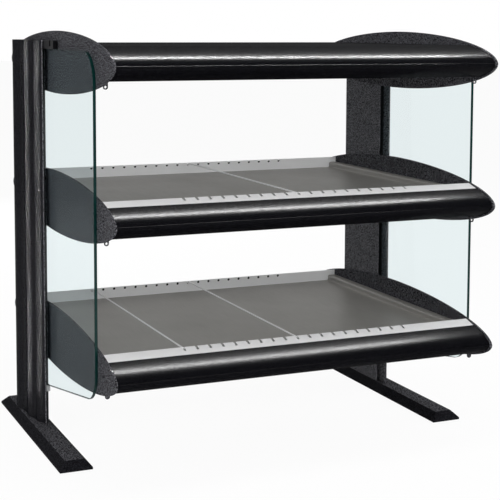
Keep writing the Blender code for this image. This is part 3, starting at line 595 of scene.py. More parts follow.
def upright_outlines():
    """(depth, y) loops: the skin with its flutes and glass slot, the core and the two ports."""
    ridges = np.array(flute_ridges)
    start, end = ridges[:-1], ridges[1:]
    share = np.linspace(0, 1, flute_steps, endpoint=False)[None, :, None]
    chord = end - start
    sink = flute_share * np.sin(np.pi * share)
    normal = np.stack([chord[:, 1], -chord[:, 0]], 1)
    flutes = (start[:, None] + chord[:, None] * share + normal[:, None] * sink).reshape(-1, 2)
    angle = np.linspace(np.pi / 2, 0, 16, endpoint=False)
    shoulder = np.stack([
        back_flat + (ridges[0, 0] - back_flat) * np.cos(angle),
        shoulder_start + (upright_back - shoulder_start) * np.sin(angle),
    ], 1)
    slot_far = lip_thickness + glass_slot_width
    front = [
        ridges[-1], nose_tip, (slot_far, ridges[-1][1]), (slot_far, glass_slot_bottom),
        (lip_thickness, glass_slot_bottom), (lip_thickness, lip_front_edge),
    ]
    skin = np.concatenate([[(0, lip_front_edge), (0, upright_back)], shoulder, flutes, front])
    core = rectangle(core_depths, core_span, 0.002)
    return [skin, core, *[ring((port_depth, place), port_radius) for place in port_places]]


upright_inner = abs(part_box("right_upright")[0][0])
for side, sign in sides.items():
    low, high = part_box(side + "_upright")
    outlines = [loop * (sign, 1) + (sign * upright_inner, 0) for loop in upright_outlines()]
    post = piece(side + "_fluted_upright", *carried(outlines, "z", low[2], high[2], extrusion_rim), upright_coat, 20)
    # The fluted outer side, beyond the flute depth, takes the darker copy of the black coat: painted shade.
    second_finish(post, painted_shade_coat, np.abs(face_values(post, "center")[:, 0]) - upright_inner > flute_depth)
    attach(post, "frame")
    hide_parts(side + "_upright")


# Upright plugs, glass rests and glass retainers
# Moulded plastic: a plug that closes each upright's core, a pale block that carries each glass panel, and a
# black grooved block over the rear part of its top edge.
moulded_rim = 0.0005
plastic_black = (0.005, 0.005, 0.006)
plastic_grey = (0.56, 0.57, 0.58)
groove_span = (0.003, 0.012)
groove_bridge = 0.005

black_plastic = mottled_finish(
    "black_moulding", plastic_black, darker(plastic_black, 1.5), 90, 0.30, 0.40, 0.00008, {"Specular IOR Level": 0.1}
)
grey_plastic = mottled_finish(
    "pale_moulding", plastic_grey, darker(plastic_grey, 0.9), 60, 0.42, 0.55, 0.00008, {"Specular IOR Level": 0.35}
)


def block(name, low, high, finish, axis="z", corner=0.001, rim=moulded_rim):
    """A block with rounded corners and rims between two corner points."""
    across = {"x": (1, 2, 0), "y": (0, 2, 1), "z": (0, 1, 2)}[axis]
    outline = rectangle(*[(low[i], high[i]) for i in across[:2]], corner, 5)
    return piece(name, *carried([outline], axis, low[across[2]], high[across[2]], rim), finish)


for side in sides:
    plug = block(side + "_core_plug", *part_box(side + "_upright_plug"), black_plastic, corner=0.002)
    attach(plug, "frame")
    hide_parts(side + "_upright_plug")

    rest = block(side + "_pale_rest", *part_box(side + "_glass_rest"), grey_plastic, axis="x", corner=0.0015)
    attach(rest, "frame")
    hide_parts(side + "_glass_rest")

    low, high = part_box(side + "_glass_retainer")
    floor_level = low[2] + groove_bridge
    corners = [
        (low[1], low[2]), (high[1], low[2]), (high[1], high[2]), (groove_span[1], high[2]),
        (groove_span[1], floor_level), (groove_span[0], floor_level), (groove_span[0], high[2]), (low[1], high[2]),
    ]
    radii = [0.0008, 0.0008, 0.0015, 0.0012, 0.0006, 0.0006, 0.0012, 0.0030]
    retainer = piece(
        side + "_grooved_retainer", *carried([rounded(corners, radii, 6)], "x", low[0], high[0], moulded_rim), black_plastic
    )
    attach(retainer, "frame")
    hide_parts(side + "_glass_retainer")


# Side glass
# Clear tempered panels, 6 mm thick, with rounded front corners and ground, polished edges that look dark
# green. The lower edge rises to the front. The back edge stands in a rubber channel in the upright's slot.
glass_corner = 0.058
glass_front_rise = 0.059
glass_rim = 0.0012
glass_tint = (0.905, 0.945, 0.950, 1)
glass_index = 1.15
glass_clarity = 0.97
edge_tint = (0.0008, 0.014, 0.013, 1)
gasket_skin = 0.0007
gasket_bridge = 0.001


def glass_finish(name, tint, roughness, relief):
    """Clear glass that lets lamp light through, with a trace of ripple."""
    finish, tree, shader, place = new_finish(
        name, {"Base Color": tint, "Transmission Weight": 1.0, "IOR": glass_index, "Metallic": 0.0}
    )
    ripple = node(tree, "ShaderNodeTexNoise", {"Scale": 9.0, "Detail": 2.0})
    haze = node(tree, "ShaderNodeMapRange", {"To Min": roughness, "To Max": roughness * 2})
    join(
        tree,
        (place, ripple.inputs["Vector"]),
        (ripple.outputs["Fac"], haze.inputs["Value"]),
        (haze.outputs["Result"], shader.inputs["Roughness"]),
    )
    add_bump(tree, shader, ripple.outputs["Fac"], relief)
    ray = node(tree, "ShaderNodeLightPath")
    share = node(tree, "ShaderNodeMath", {1: glass_clarity}, operation="MAXIMUM")
    clear = node(tree, "ShaderNodeBsdfTransparent", {"Color": tint})
    mixed = node(tree, "ShaderNodeMixShader")
    join(
        tree,
        (ray.outputs["Is Shadow Ray"], share.inputs[0]),
        (share.outputs[0], mixed.inputs["Fac"]),
        (shader.outputs["BSDF"], mixed.inputs[1]),
        (clear.outputs["BSDF"], mixed.inputs[2]),
        (mixed.outputs["Shader"], tree.nodes["Material Output"].inputs["Surface"]),
    )
    return finish


clear_glass = glass_finish("clear_glass", glass_tint, 0.0, 0.00002)
edge_finish, edge_tree, edge_shader, edge_place = new_finish(
    "glass_edge", {"Base Color": edge_tint, "Specular IOR Level": 0.2}
)
edge_streak = node(edge_tree, "ShaderNodeTexNoise", {"Scale": 140.0, "Detail": 3.0})
edge_gloss = node(edge_tree, "ShaderNodeMapRange", {"To Min": 0.10, "To Max": 0.26})
edge_tone = node(edge_tree, "ShaderNodeMix", {"A": edge_tint, "B": (0.002, 0.030, 0.027, 1)}, data_type="RGBA")
join(
    edge_tree,
    (edge_place, edge_streak.inputs["Vector"]),
    (edge_streak.outputs["Fac"], edge_gloss.inputs["Value"]),
    (edge_gloss.outputs["Result"], edge_shader.inputs["Roughness"]),
    (edge_streak.outputs["Fac"], edge_tone.inputs["Factor"]),
    (edge_tone.outputs["Result"], edge_shader.inputs["Base Color"]),
)

for side in sides:
    low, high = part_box(side + "_glass")
    seat_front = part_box(side + "_glass_rest")[0][1]
    corners = [
        (low[1], low[2] + glass_front_rise), (seat_front, low[2]),
        (high[1], low[2]), (high[1], high[2]), (low[1], high[2]),
    ]
    outline = rounded(corners, [glass_corner, 0.002, 0.002, 0.002, glass_corner], 28)
    panel = piece(side + "_glass_panel", *carried([outline], "x", low[0], high[0], glass_rim), clear_glass)
    second_finish(panel, edge_finish, np.abs(face_values(panel, "normal")[:, 0]) < 0.9)
    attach(panel, "frame")
    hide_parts(side + "_glass")

    low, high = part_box(side + "_gasket")
    corners = [
        (low[0], low[1]), (low[0] + gasket_skin, low[1]), (low[0] + gasket_skin, high[1] - gasket_bridge),
        (high[0] - gasket_skin, high[1] - gasket_bridge), (high[0] - gasket_skin, low[1]), (high[0], low[1]),
        (high[0], high[1]), (low[0], high[1]),
    ]
    channel = piece(side + "_rubber_channel", *carried([rounded(corners, 0.0002, 4)], "z", low[2], high[2], 0.0002), rubber)
    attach(channel, "frame")
    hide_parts(side + "_gasket")


# End caps
# Oval steel plates, two on each tier, in the frame's black coat. Each has a small pierced tab bent inwards
# under its front, two socket bolts into the upright and two small screws into the rails.
cap_thickness = 0.004
cap_rim = 0.0009
cap_exponent = 1.9
cap_points = 240
tab_margin = 0.072
tab_thickness = 0.0025
tab_half = 0.0045
tab_top = 0.0275
tab_bottom = 0.0405
tab_hole = 0.0022
bolt_places = (0.155, 0.205)
bolt_head = (0.005, 0.005, 0.0025)
boss_margin = 0.070
boss_rise = 0.001
screw_head = (0.0032, 0.0019, 0.0014)
steel_grey = (0.42, 0.42, 0.43)

zinc_steel = mottled_finish(
    "zinc_steel", steel_grey, darker(steel_grey, 0.75), 500, 0.28, 0.42, 0.00006, {"Metallic": 1.0}
)


def oval(angle, half_length, half_height):
    """|y / half length| ^ n + |z / half height| ^ n = 1, by angle."""
    power = 2 / cap_exponent
    return np.stack([
        half_length * np.sign(np.cos(angle)) * np.abs(np.cos(angle)) ** power,
        half_height * np.sign(np.sin(angle)) * np.abs(np.sin(angle)) ** power,
    ], -1)


def socket_head(radius, height, socket, place, direction, sides=36):
    """A button head: a domed profile turned about its axis, its rim rounded and a six-sided socket sunk in
    its top. Place is the middle of its underside."""
    dome = np.linspace(0, np.pi / 2, 7)
    skin_radius = np.concatenate([[0, radius], radius * (0.62 + 0.38 * np.cos(dome)), [socket * 1.12]])
    skin_height = np.concatenate([[0, 0], height * (0.45 + 0.55 * np.sin(dome)), [height]])
    angle = np.linspace(0, 2 * np.pi, sides, endpoint=False)
    six = np.cos(np.pi / 6) / np.cos((angle + np.pi / 6) % (np.pi / 3) - np.pi / 6)
    radii = np.concatenate([
        np.repeat(skin_radius[:, None], sides, 1),
        np.stack([socket * six, socket * six, six * 0]),
    ])
    heights = np.concatenate([skin_height, [height * 0.96, height * 0.4, height * 0.4]])
    flat = np.stack([radii * np.cos(angle), radii * np.sin(angle), np.repeat(heights[:, None], sides, 1)], -1)
    turn = np.array(Vector(direction).to_track_quat("Z", "Y").to_matrix())
    points = flat.reshape(-1, 3) @ turn.T + np.array(place)
    return points, quads(len(heights), sides)


tiers = {}
for tier in ("low", "mid", "canopy"):
    low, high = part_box(tier + "_right_cap")
    tiers[tier] = (low[2] + high[2]) / 2
cap_reach = (high[1] - low[1]) / 2
cap_half_height = (high[2] - low[2]) / 2
cap_outer = upright_inner - 0.0003
cap_inner = cap_outer - cap_thickness
boss_reach = cap_reach - boss_margin

for tier, height in tiers.items():
    for side, sign in sides.items():
        name = tier + "_" + side + "_cap"
        around = np.linspace(0, 2 * np.pi, cap_points, endpoint=False)
        outline = oval(around, cap_reach, cap_half_height) + (0, height)
        plate = piece(name + "_plate", *carried([outline], "x", sign * cap_inner, sign * cap_outer, cap_rim), black_coat)
        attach(plate, "frame")
        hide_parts(name)

        middle_x = sign * (cap_inner + cap_thickness / 2 - tab_half)
        lobe_z = height - tab_bottom + tab_half
        bend = np.linspace(np.pi, 2 * np.pi, 17)
        lobe = np.stack([middle_x + tab_half * np.cos(bend), lobe_z + tab_half * np.sin(bend)], 1)
        top = [(middle_x + tab_half, height - tab_top), (middle_x - tab_half, height - tab_top)]
        loops = [np.concatenate([top, lobe])]
        if tier != "low":
            loops.append(ring((middle_x, lobe_z), tab_hole))
        tab_y = tab_margin - cap_reach
        faces = (tab_y - tab_thickness / 2, tab_y + tab_thickness / 2)
        tab = piece(name + "_tab", *carried(loops, "y", *faces, 0.0005), black_coat)
        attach(tab, "frame")

        for number, place_y in enumerate(bolt_places):
            place = (sign * cap_inner, place_y, height)
            bolt = piece(f"{name}_bolt_{number}", *socket_head(*bolt_head, place, (-sign, 0, 0)), zinc_steel)
            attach(bolt, "frame")
        for facing, word in ((-1, "front"), (1, "rear")):
            place = (sign * cap_outer, facing * boss_reach, height + boss_rise)
            screw = piece(f"{name}_{word}_screw", *socket_head(*screw_head, place, (sign, 0, 0)), black_coat)
            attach(screw, "frame")


# Rails
# Long aluminium extrusions that follow the oval between the caps: a hollow skin with one fine crease, a foot
# flange, a web with a screw boss, and a seat for the sheet above. The rear ones have a flat control face.
rail_inset = 0.0045
rail_wall = 0.002
rail_drop = 0.026
rail_flange = 0.020
rail_steps = 40
crease_height = 0.002
crease_width = 0.0016
crease_depth = 0.0012
web_thickness = 0.002
boss_radius = 0.0045
boss_hole = 0.0018
rail_rim = 0.0003
control_margin = 0.028
shelf_seat = (0.0015, 0.012)
canopy_seat = (0.0018, 0.015)
canopy_end, front_end, rear_end = 0.093, 0.0613, 0.072
switch_margin = 0.090
control_spacing = 0.055
control_window = (0.0876, 0.0296)
web_end = 0.3297
cord_hole = (0.300, 0.0083)
rail_tone = (0.0010, 0.0010, 0.0014)
rail_fleck = (0.010, 0.010, 0.013)

rail_coat = coat_finish(
    "rail_powder_coat", rail_tone, rail_fleck, 480, 0.7, (0.22, 0.34), (0.03, 0.09), 0.000004,
    {"Specular IOR Level": 0.0, "Coat Roughness": 0.21},
)


def oval_angle(height, inset):
    share = np.abs(height) / (cap_half_height - inset)
    return np.arcsin(np.sign(height) * share ** (cap_exponent / 2))


def oval_height(reach, inset):
    share = reach / (cap_reach - inset)
    return (cap_half_height - inset) * (1 - share**cap_exponent) ** (1 / cap_exponent)


def oval_run(inset, top, bottom, limit):
    """Points along the oval between two heights, cut off flat at a limit."""
    angle = np.linspace(oval_angle(top, inset), oval_angle(bottom, inset), rail_steps + 1)
    run = oval(angle, cap_reach - inset, cap_half_height - inset)
    run[:, 0] = np.minimum(run[:, 0], limit)
    return run


def rail_loops(end_reach, face, seat):
    """(reach, rise) loops of a rail's section and its screw hole."""
    inner = rail_inset + rail_wall
    top = oval_height(end_reach, rail_inset)
    crease_angle = oval_angle(crease_height, rail_inset)
    crease_reach = min(oval(crease_angle, cap_reach - rail_inset, cap_half_height - rail_inset)[0], face)
    upper_skin = oval_run(rail_inset, top, crease_height + crease_width / 2, face)
    lower_skin = oval_run(rail_inset, crease_height - crease_width / 2, -rail_drop, face)
    foot_end = lower_skin[-1, 0] - rail_flange
    flange = [(foot_end, -rail_drop), (foot_end, -rail_drop + rail_wall)]
    neck = np.arcsin(web_thickness / 2 / boss_radius)
    turn = np.linspace(-neck, neck - 2 * np.pi, 25)
    boss = np.stack([boss_reach + boss_radius * np.cos(turn), boss_rise + boss_radius * np.sin(turn)], 1)
    web = (boss_rise - web_thickness / 2, boss_rise + web_thickness / 2)
    lower = oval_run(inner, -rail_drop + rail_wall, web[0], face - rail_wall)
    if seat:
        drop, width = seat
        level = top - drop
        upper = oval_run(inner, web[1], level - rail_wall, face - rail_wall)
        end = [(end_reach - width, level - rail_wall), (end_reach - width, level), (end_reach, level)]
    else:
        upper = oval_run(inner, web[1], oval_height(end_reach, inner), face - rail_wall)
        end = np.empty((0, 2))
    crease = [(crease_reach - crease_depth, crease_height)]
    loop = np.concatenate([upper_skin, crease, lower_skin, flange, lower, boss, upper, np.reshape(end, (-1, 2))])
    return [loop, ring((boss_reach, boss_rise), boss_hole, 16)]


def together(shapes):
    """Several separate shapes as one list of points and faces."""
    counts = np.cumsum([0] + [len(points) for points, faces in shapes])
    faces = [[index + count for index in face] for count, (points, loops) in zip(counts, shapes) for face in loops]
    return np.concatenate([points for points, faces in shapes]), faces


def cut(made, points, faces):
    """Takes the shape away from a piece, for good."""
    tool = piece(made.name + "_cutter", points, faces, made.data.materials[0])
    boolean = made.modifiers.new("cut", "BOOLEAN")
    boolean.object = tool
    boolean.solver = "EXACT"
    bpy.context.view_layer.update()
    mesh = bpy.data.meshes.new_from_object(made.evaluated_get(bpy.context.evaluated_depsgraph_get()))
    made.modifiers.clear()
    made.data = mesh
    bpy.data.objects.remove(tool)
    mesh.shade_smooth()
    mesh.set_sharp_from_angle(angle=np.radians(30))
    made.modifiers.new("flats", "WEIGHTED_NORMAL").keep_sharp = True
    return made


switch_x = switch_margin - cap_inner
knob_x = switch_x + control_spacing
rail_face = cap_reach - control_margin
for tier, height in tiers.items():
    for facing, word in ((-1, "front"), (1, "rear")):
        name = tier + "_" + word + "_rail"
        low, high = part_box(name)
        end, seat = (canopy_end, canopy_seat) if tier == "canopy" else (front_end, shelf_seat)
        if facing > 0 and tier != "canopy":
            end, seat = rear_end, None
        face = rail_face if facing > 0 else cap_reach
        loops = [loop * (facing, 1) + (0, height) for loop in rail_loops(cap_reach - end, face, seat)]
        rail = piece(name + "_skin", *carried(loops, "x", low[0], high[0], rail_rim), rail_coat, 25)
        if facing > 0:
            middle_x = (switch_x + knob_x) / 2
            window = rectangle(
                (middle_x - control_window[0] / 2, middle_x + control_window[0] / 2),
                (height - control_window[1] / 2, height + control_window[1] / 2),
            )
            gap = rectangle((-web_end, web_end), (height + boss_rise - 0.005, height + boss_rise + 0.005))
            behind = rail_face - rail_wall - 0.0005
            openings = [
                carried([window], "y", behind + 0.0001, rail_face + 0.004, 0.0001, 1),
                carried([gap], "y", boss_reach - boss_radius - 0.003, behind, 0.0001, 1),
            ]
            if tier == "low":
                hole = ring((cord_hole[0], height), cord_hole[1], 40)
                openings.append(carried([hole], "y", behind + 0.0001, rail_face + 0.004, 0.0001, 1))
            cut(rail, *together(openings))
        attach(rail, "frame")
        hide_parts(name)


# Canopy top cover
# A flat steel sheet in the same black as the rails, sunk flush between them, with softly broken edges.
low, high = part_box("canopy_top_cover")
cover = block("canopy_cover_sheet", low, high, rail_coat, corner=0.0008, rim=0.0003)
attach(cover, "frame")
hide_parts("canopy_top_cover")


# Trays
# Each tray is one sheet of hard-coated aluminium, rolled satin grey, bent down from a ledge at each cap to a
# wide flat floor.
tray_ledge_width = 0.018
tray_sheet = 0.0015
tray_bend = 0.003
tray_grey = (0.375, 0.361, 0.340)


def brushed_group():
    """Rolled or brushed metal: noise stretched along the grain moves tone, gloss and height."""
    group, given, result = shader_group(
        "brushed_grain",
        {"Place": "vector", "Stretch": "vector", "Tone": "colour", "Shade": "colour", "Dull": "number", "Shiny": "number"},
        {"Colour": "colour", "Roughness": "number", "Height": "number"},
    )
    stretch = node(group, "ShaderNodeVectorMath", operation="MULTIPLY")
    streak = node(group, "ShaderNodeTexNoise", {"Scale": 1.0, "Detail": 5.0, "Roughness": 0.7})
    cloud = node(group, "ShaderNodeTexNoise", {"Scale": 7.0, "Detail": 3.0, "Roughness": 0.5})
    blend = node(group, "ShaderNodeMix", {"Factor": 0.4}, data_type="FLOAT")
    spread = node(group, "ShaderNodeMapRange", {"From Min": 0.35, "From Max": 0.65})
    tone = node(group, "ShaderNodeMix", data_type="RGBA")
    gloss = node(group, "ShaderNodeMix", data_type="FLOAT")
    join(
        group,
        (given.outputs["Place"], stretch.inputs[0]),
        (given.outputs["Stretch"], stretch.inputs[1]),
        (stretch.outputs["Vector"], streak.inputs["Vector"]),
        (given.outputs["Place"], cloud.inputs["Vector"]),
        (streak.outputs["Fac"], blend.inputs["A"]),
        (cloud.outputs["Fac"], blend.inputs["B"]),
        (blend.outputs["Result"], spread.inputs["Value"]),
        (spread.outputs["Result"], tone.inputs["Factor"]),
        (given.outputs["Tone"], tone.inputs["A"]),
        (given.outputs["Shade"], tone.inputs["B"]),
        (spread.outputs["Result"], gloss.inputs["Factor"]),
        (given.outputs["Shiny"], gloss.inputs["A"]),
        (given.outputs["Dull"], gloss.inputs["B"]),
        (tone.outputs["Result"], result.inputs["Colour"]),
        (gloss.outputs["Result"], result.inputs["Roughness"]),
        (streak.outputs["Fac"], result.inputs["Height"]),
    )
    return group


brushed_grain = brushed_group()


def brushed_finish(name, tone, shade, stretch, shiny, dull, relief, values):
    """Metal with a grain that runs along the axis of the smallest stretch."""
    finish, tree, shader, place = new_finish(name, values)
    grain = node(tree, "ShaderNodeGroup", node_tree=brushed_grain)
    grain.inputs["Stretch"].default_value = stretch
    grain.inputs["Tone"].default_value = (*tone, 1)
    grain.inputs["Shade"].default_value = (*shade, 1)
    grain.inputs["Shiny"].default_value = shiny
    grain.inputs["Dull"].default_value = dull
    join(
        tree,
        (place, grain.inputs["Place"]),
        (grain.outputs["Colour"], shader.inputs["Base Color"]),
        (grain.outputs["Roughness"], shader.inputs["Roughness"]),
    )
    add_bump(tree, shader, grain.outputs["Height"], relief)
    return finish


tray_finish = brushed_finish(
    "satin_tray", tray_grey, darker(tray_grey, 0.86), (900, 12, 900), 0.34, 0.46, 0.00003, {"Metallic": 0.3}
)

for tier in ("low", "mid"):
    name = tier + "_tray"
    low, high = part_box(name)
    floor_z = low[2] + tray_sheet
    wall = high[0] - tray_ledge_width
    right = [
        (wall, floor_z), (wall, high[2]), (high[0], high[2]), (high[0], high[2] - tray_sheet),
        (wall + tray_sheet, high[2] - tray_sheet), (wall + tray_sheet, low[2]),
    ]
    left = [(-x, z) for x, z in reversed(right)]
    inside, outside = tray_bend, tray_bend + tray_sheet
    radii = [inside, outside, 0.0003, 0.0003, inside, outside]
    sheet = piece(
        name + "_sheet",
        *carried([rounded(right + left, radii + radii[::-1], 8)], "y", low[1], high[1], 0.0003),
        tray_finish,
    )
    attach(sheet, "frame")
    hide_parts(name)


# Slotted lips and back strips
# Bright drawn aluminium: a sloping lip behind each front rail, bent down to the tray, its top edge cut by a
# row of slots, and at the back an upright strip with a row of round holes. The divider rods stand in them.
slot_pitch = 0.0254
slot_count = 19
slot_opening = 0.0048
slot_length = 0.0115
lip_sheet = 0.0012
lip_run = 0.0254
lip_bend = 0.0018
rod_clearance = 0.0324
strip_hole_height = 0.031
strip_hole_radius = 0.00275
bright_tone = (0.92, 0.92, 0.925)

bright_metal = brushed_finish(
    "bright_aluminium", bright_tone, darker(bright_tone, 0.93), (14, 1400, 1400), 0.30, 0.42, 0.00001,
    {"Metallic": 0.1},
)
strip_metal = brushed_finish(
    "strip_aluminium", darker(bright_tone, 0.98), darker(bright_tone, 0.92), (14, 1400, 1400), 0.30, 0.42, 0.00001,
    {"Metallic": 0.1},
)


slot_places = (np.arange(slot_count) - (slot_count - 1) / 2) * slot_pitch
for tier in ("low", "mid"):
    height = tiers[tier]
    name = tier + "_slotted_lip"
    low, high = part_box(name)
    slope_front = low[1]
    slope_back = slope_front + lip_run
    front_z = height + oval_height(abs(slope_front) + 0.0003, rail_inset)
    corners = [
        (slope_front, front_z), (slope_back, high[2]), (high[1], high[2]), (high[1], low[2]),
        (high[1] - lip_sheet, low[2]), (high[1] - lip_sheet, high[2] - lip_sheet),
        (slope_back, high[2] - lip_sheet), (slope_front, front_z - lip_sheet),
    ]
    radii = [0.0003, 0.004, lip_bend, 0.0003, 0.0003, 0.0006, 0.004, 0.0003]
    lip = piece(
        name + "_sheet", *carried([rounded(corners, radii, 6)], "x", low[0], high[0], 0.0002), bright_metal
    )
    slot_front = slope_back - slot_length
    half = slot_opening / 2
    notch = height + rod_clearance
    beyond = (high[1] + 0.003, high[2] + 0.003)
    shape = [(slot_front, front_z - lip_sheet), (slope_back, notch), (beyond[0], notch), beyond, (slot_front, beyond[1])]
    cut(lip, *together([carried([np.array(shape)], "x", x - half, x + half, 0.0001, 1) for x in slot_places]))
    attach(lip, "frame")
    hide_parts(name)

    name = tier + "_back_strip"
    low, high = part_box(name)
    plate = rectangle((low[0], high[0]), (low[2], high[2]))
    holes = [ring((x, height + strip_hole_height), strip_hole_radius) for x in slot_places]
    strip = piece(name + "_plate", *carried([plate, *holes], "y", low[1], high[1], 0.0003), strip_metal)
    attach(strip, "frame")
    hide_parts(name)


# Divider rods
# Bright steel wire, 3.2 mm thick, with a small crank behind its front run. The back end hooks into a hole of
# the strip and the front end lies in a slot of the lip.
rod_radius = 0.0016
rod_tail = 0.005
rod_crank = (0.0035, 0.008)
rod_bend = 0.004


def tube(path, radius, binormal, sides=16):
    """Rings square to a flat path, with rounded ends."""
    path = np.asarray(path, float)
    ends = np.stack([path[1] - path[0], path[-2] - path[-1]])
    ends /= np.linalg.norm(ends, axis=1)[:, None]
    turn = np.linspace(0, np.pi / 2, 6)
    dome = radius * (1 - np.cos(turn))[:, None]
    path = np.concatenate([path[0] + dome * ends[0], path[1:-1], (path[-1] + dome * ends[1])[::-1]])
    rounding = radius * np.sin(turn)
    radii = np.concatenate([rounding, np.full(len(path) - 12, radius), rounding[::-1]])
    heading = np.gradient(path, axis=0)
    heading[:6] = ends[0]
    heading[-6:] = -ends[1]
    heading /= np.linalg.norm(heading, axis=1)[:, None]
    binormal = np.asarray(binormal, float)
    across = np.cross(heading, binormal)
    angle = np.linspace(0, 2 * np.pi, sides, endpoint=False)
    spokes = np.cos(angle)[None, :, None] * binormal + np.sin(angle)[None, :, None] * across[:, None]
    points = path[:, None] + radii[:, None, None] * spokes
    return points.reshape(-1, 3), quads(len(path), sides)


for name in ("mid_divider", "low_divider_left", "low_divider_middle"):
    low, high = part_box(name)
    x = (low[0] + high[0]) / 2
    back_z, front_z = low[2] + rod_radius, high[2] - rod_radius
    hole_y = high[1] - rod_tail
    corners = [(high[1], back_z), (hole_y - rod_crank[0], back_z), (hole_y - rod_crank[1], front_z), (low[1], front_z)]
    line = rounded(corners, [0, rod_bend, rod_bend, 0], 8, closed=False)
    path = np.column_stack([np.full(len(line), x), line])
    rod = piece(name + "_rod", *tube(path, rod_radius, (1, 0, 0)), bright_metal)
    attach(rod, name)
    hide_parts(name)


# Heat blankets and base plate
# Under each tray lies a thin silicone heater in brick red. The lower shelf is closed below by a plain sheet.
silicone_red = (0.36, 0.085, 0.035)
silicone = mottled_finish(
    "silicone_heater", silicone_red, darker(silicone_red, 0.8), 300, 0.55, 0.7, 0.0002, {"Specular IOR Level": 0.3}
)
for tier in ("low", "mid"):
    name = tier + "_heat_blanket"
    blanket = block(name + "_sheet", *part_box(name), silicone, corner=0.012, rim=0.0006)
    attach(blanket, "frame")
    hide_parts(name)
base = block("low_base_sheet", *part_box("low_base_plate"), tray_finish, corner=0.002, rim=0.0003)
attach(base, "frame")
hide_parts("low_base_plate")


# Heat pans
# Bright reflector sheet under the canopy and the upper shelf, pressed up into a long trough that holds the
# heating element and a tubular lamp.
pan_sheet = 0.0015
trough_margin = 0.060
trough_half_width = 0.110
trough_depth = 0.026
trough_ramp = (0.004, 0.014)
reflector_tone = (0.80, 0.80, 0.79)
reflector = brushed_finish(
    "reflector_sheet", reflector_tone, darker(reflector_tone, 0.9), (30, 900, 900), 0.16, 0.26, 0.00002,
    {"Metallic": 1.0},
)


def open_grid(rows, columns):
    """Four-sided faces of an open grid."""
    row, column = np.meshgrid(np.arange(rows - 1), np.arange(columns - 1), indexing="ij")
    first = row * columns + column
    return np.stack([first, first + 1, first + columns + 1, first + columns], -1).reshape(-1, 4)


def ramp(place, half, width):
    """1 inside a trough, 0 outside, with a smooth wall of a given width just inside its half size."""
    share = np.clip((half - np.abs(place)) / width, 0, 1)
    return share * share * (3 - 2 * share)


trough_half = cap_inner - trough_margin
for tier in ("mid", "canopy"):
    name = tier + "_heat_pan"
    low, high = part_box(name)
    wall_x = trough_half - trough_ramp[0] * np.linspace(0, 1, 9)
    wall_y = trough_half_width - trough_ramp[1] * np.linspace(0, 1, 13)
    half_x = np.sort(np.concatenate([wall_x, [0, high[0]]]))
    half_y = np.sort(np.concatenate([wall_y, [0, high[1]]]))
    x = np.concatenate([-half_x[:0:-1], half_x])
    y = np.concatenate([-half_y[:0:-1], half_y])
    grid_y, grid_x = np.meshgrid(y, x, indexing="ij")
    rise = trough_depth * ramp(grid_x, trough_half, trough_ramp[0]) * ramp(grid_y, trough_half_width, trough_ramp[1])
    points = np.stack([grid_x, grid_y, low[2] + rise], -1).reshape(-1, 3)
    pan = piece(name + "_reflector", points, open_grid(len(y), len(x)), reflector, 50)
    if pan.data.polygons[0].normal.z > 0:
        pan.data.flip_normals()
    wall = pan.modifiers.new("sheet", "SOLIDIFY")
    wall.thickness = pan_sheet
    wall.offset = -1
    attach(pan, "frame")
    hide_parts(name)


# Heating elements
# A hairpin of sheathed tube, dull grey-brown from heat, with a pale ceramic bush at each end where it meets
# the trough's end wall.
element_bend = 0.025
element_bush = (0.0065, 0.012)
sheath_tone = (0.19, 0.17, 0.15)
ceramic_tone = (0.74, 0.72, 0.67)
sheath = brushed_finish(
    "element_sheath", sheath_tone, darker(sheath_tone, 0.6), (40, 300, 300), 0.38, 0.55, 0.00004, {"Metallic": 0.9}
)
ceramic = mottled_finish(
    "white_ceramic", ceramic_tone, darker(ceramic_tone, 0.93), 80, 0.25, 0.4, 0.00005, {"Specular IOR Level": 0.5}
)


def turned(profile, place, direction, sides=40):
    """A (radius, height) profile turned about a direction through a place."""
    profile = np.asarray(profile, float)
    angle = np.linspace(0, 2 * np.pi, sides, endpoint=False)
    flat = np.stack([
        profile[:, :1] * np.cos(angle), profile[:, :1] * np.sin(angle), np.repeat(profile[:, 1:], sides, 1),
    ], -1)
    turn = np.array(Vector(direction).to_track_quat("Z", "Y").to_matrix())
    return flat.reshape(-1, 3) @ turn.T + np.array(place), quads(len(profile), sides)


def barrel(radius, start, end, rim):
    """Profile of a cylinder with rounded rims, from its end back to its start."""
    turn = np.linspace(0, np.pi / 2, 5)
    edge_radius = radius - rim + rim * np.sin(turn)
    edge_height = rim * (1 - np.cos(turn))
    return [
        (0, end), *zip(edge_radius, end - edge_height), *zip(edge_radius[::-1], (start + edge_height)[::-1]), (0, start),
    ]


for tier in ("mid", "canopy"):
    name = tier + "_heating_element"
    low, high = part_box(name)
    radius = (high[2] - low[2]) / 2
    level = (high[2] + low[2]) / 2
    run_y = (low[1] + radius, high[1] - radius)
    bend_x = high[0] - radius - element_bend
    turn = np.linspace(-np.pi / 2, np.pi / 2, 25)
    bend = np.stack([bend_x + element_bend * np.cos(turn), sum(run_y) / 2 + element_bend * np.sin(turn)], 1)
    line = np.concatenate([[(low[0], run_y[0])], bend, [(low[0], run_y[1])]])
    path = np.column_stack([line, np.full(len(line), level)])
    hairpin = piece(name + "_hairpin", *tube(path, radius, (0, 0, 1), 24), sheath)
    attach(hairpin, "frame")
    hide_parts(name)
    for number, y in enumerate(run_y):
        bush_radius, bush_length = element_bush
        profile = barrel(bush_radius, 0, bush_length, 0.001)
        bush = piece(f"{name}_bush_{number}", *turned(profile, (low[0], y, level), (1, 0, 0)), ceramic)
        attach(bush, "frame")


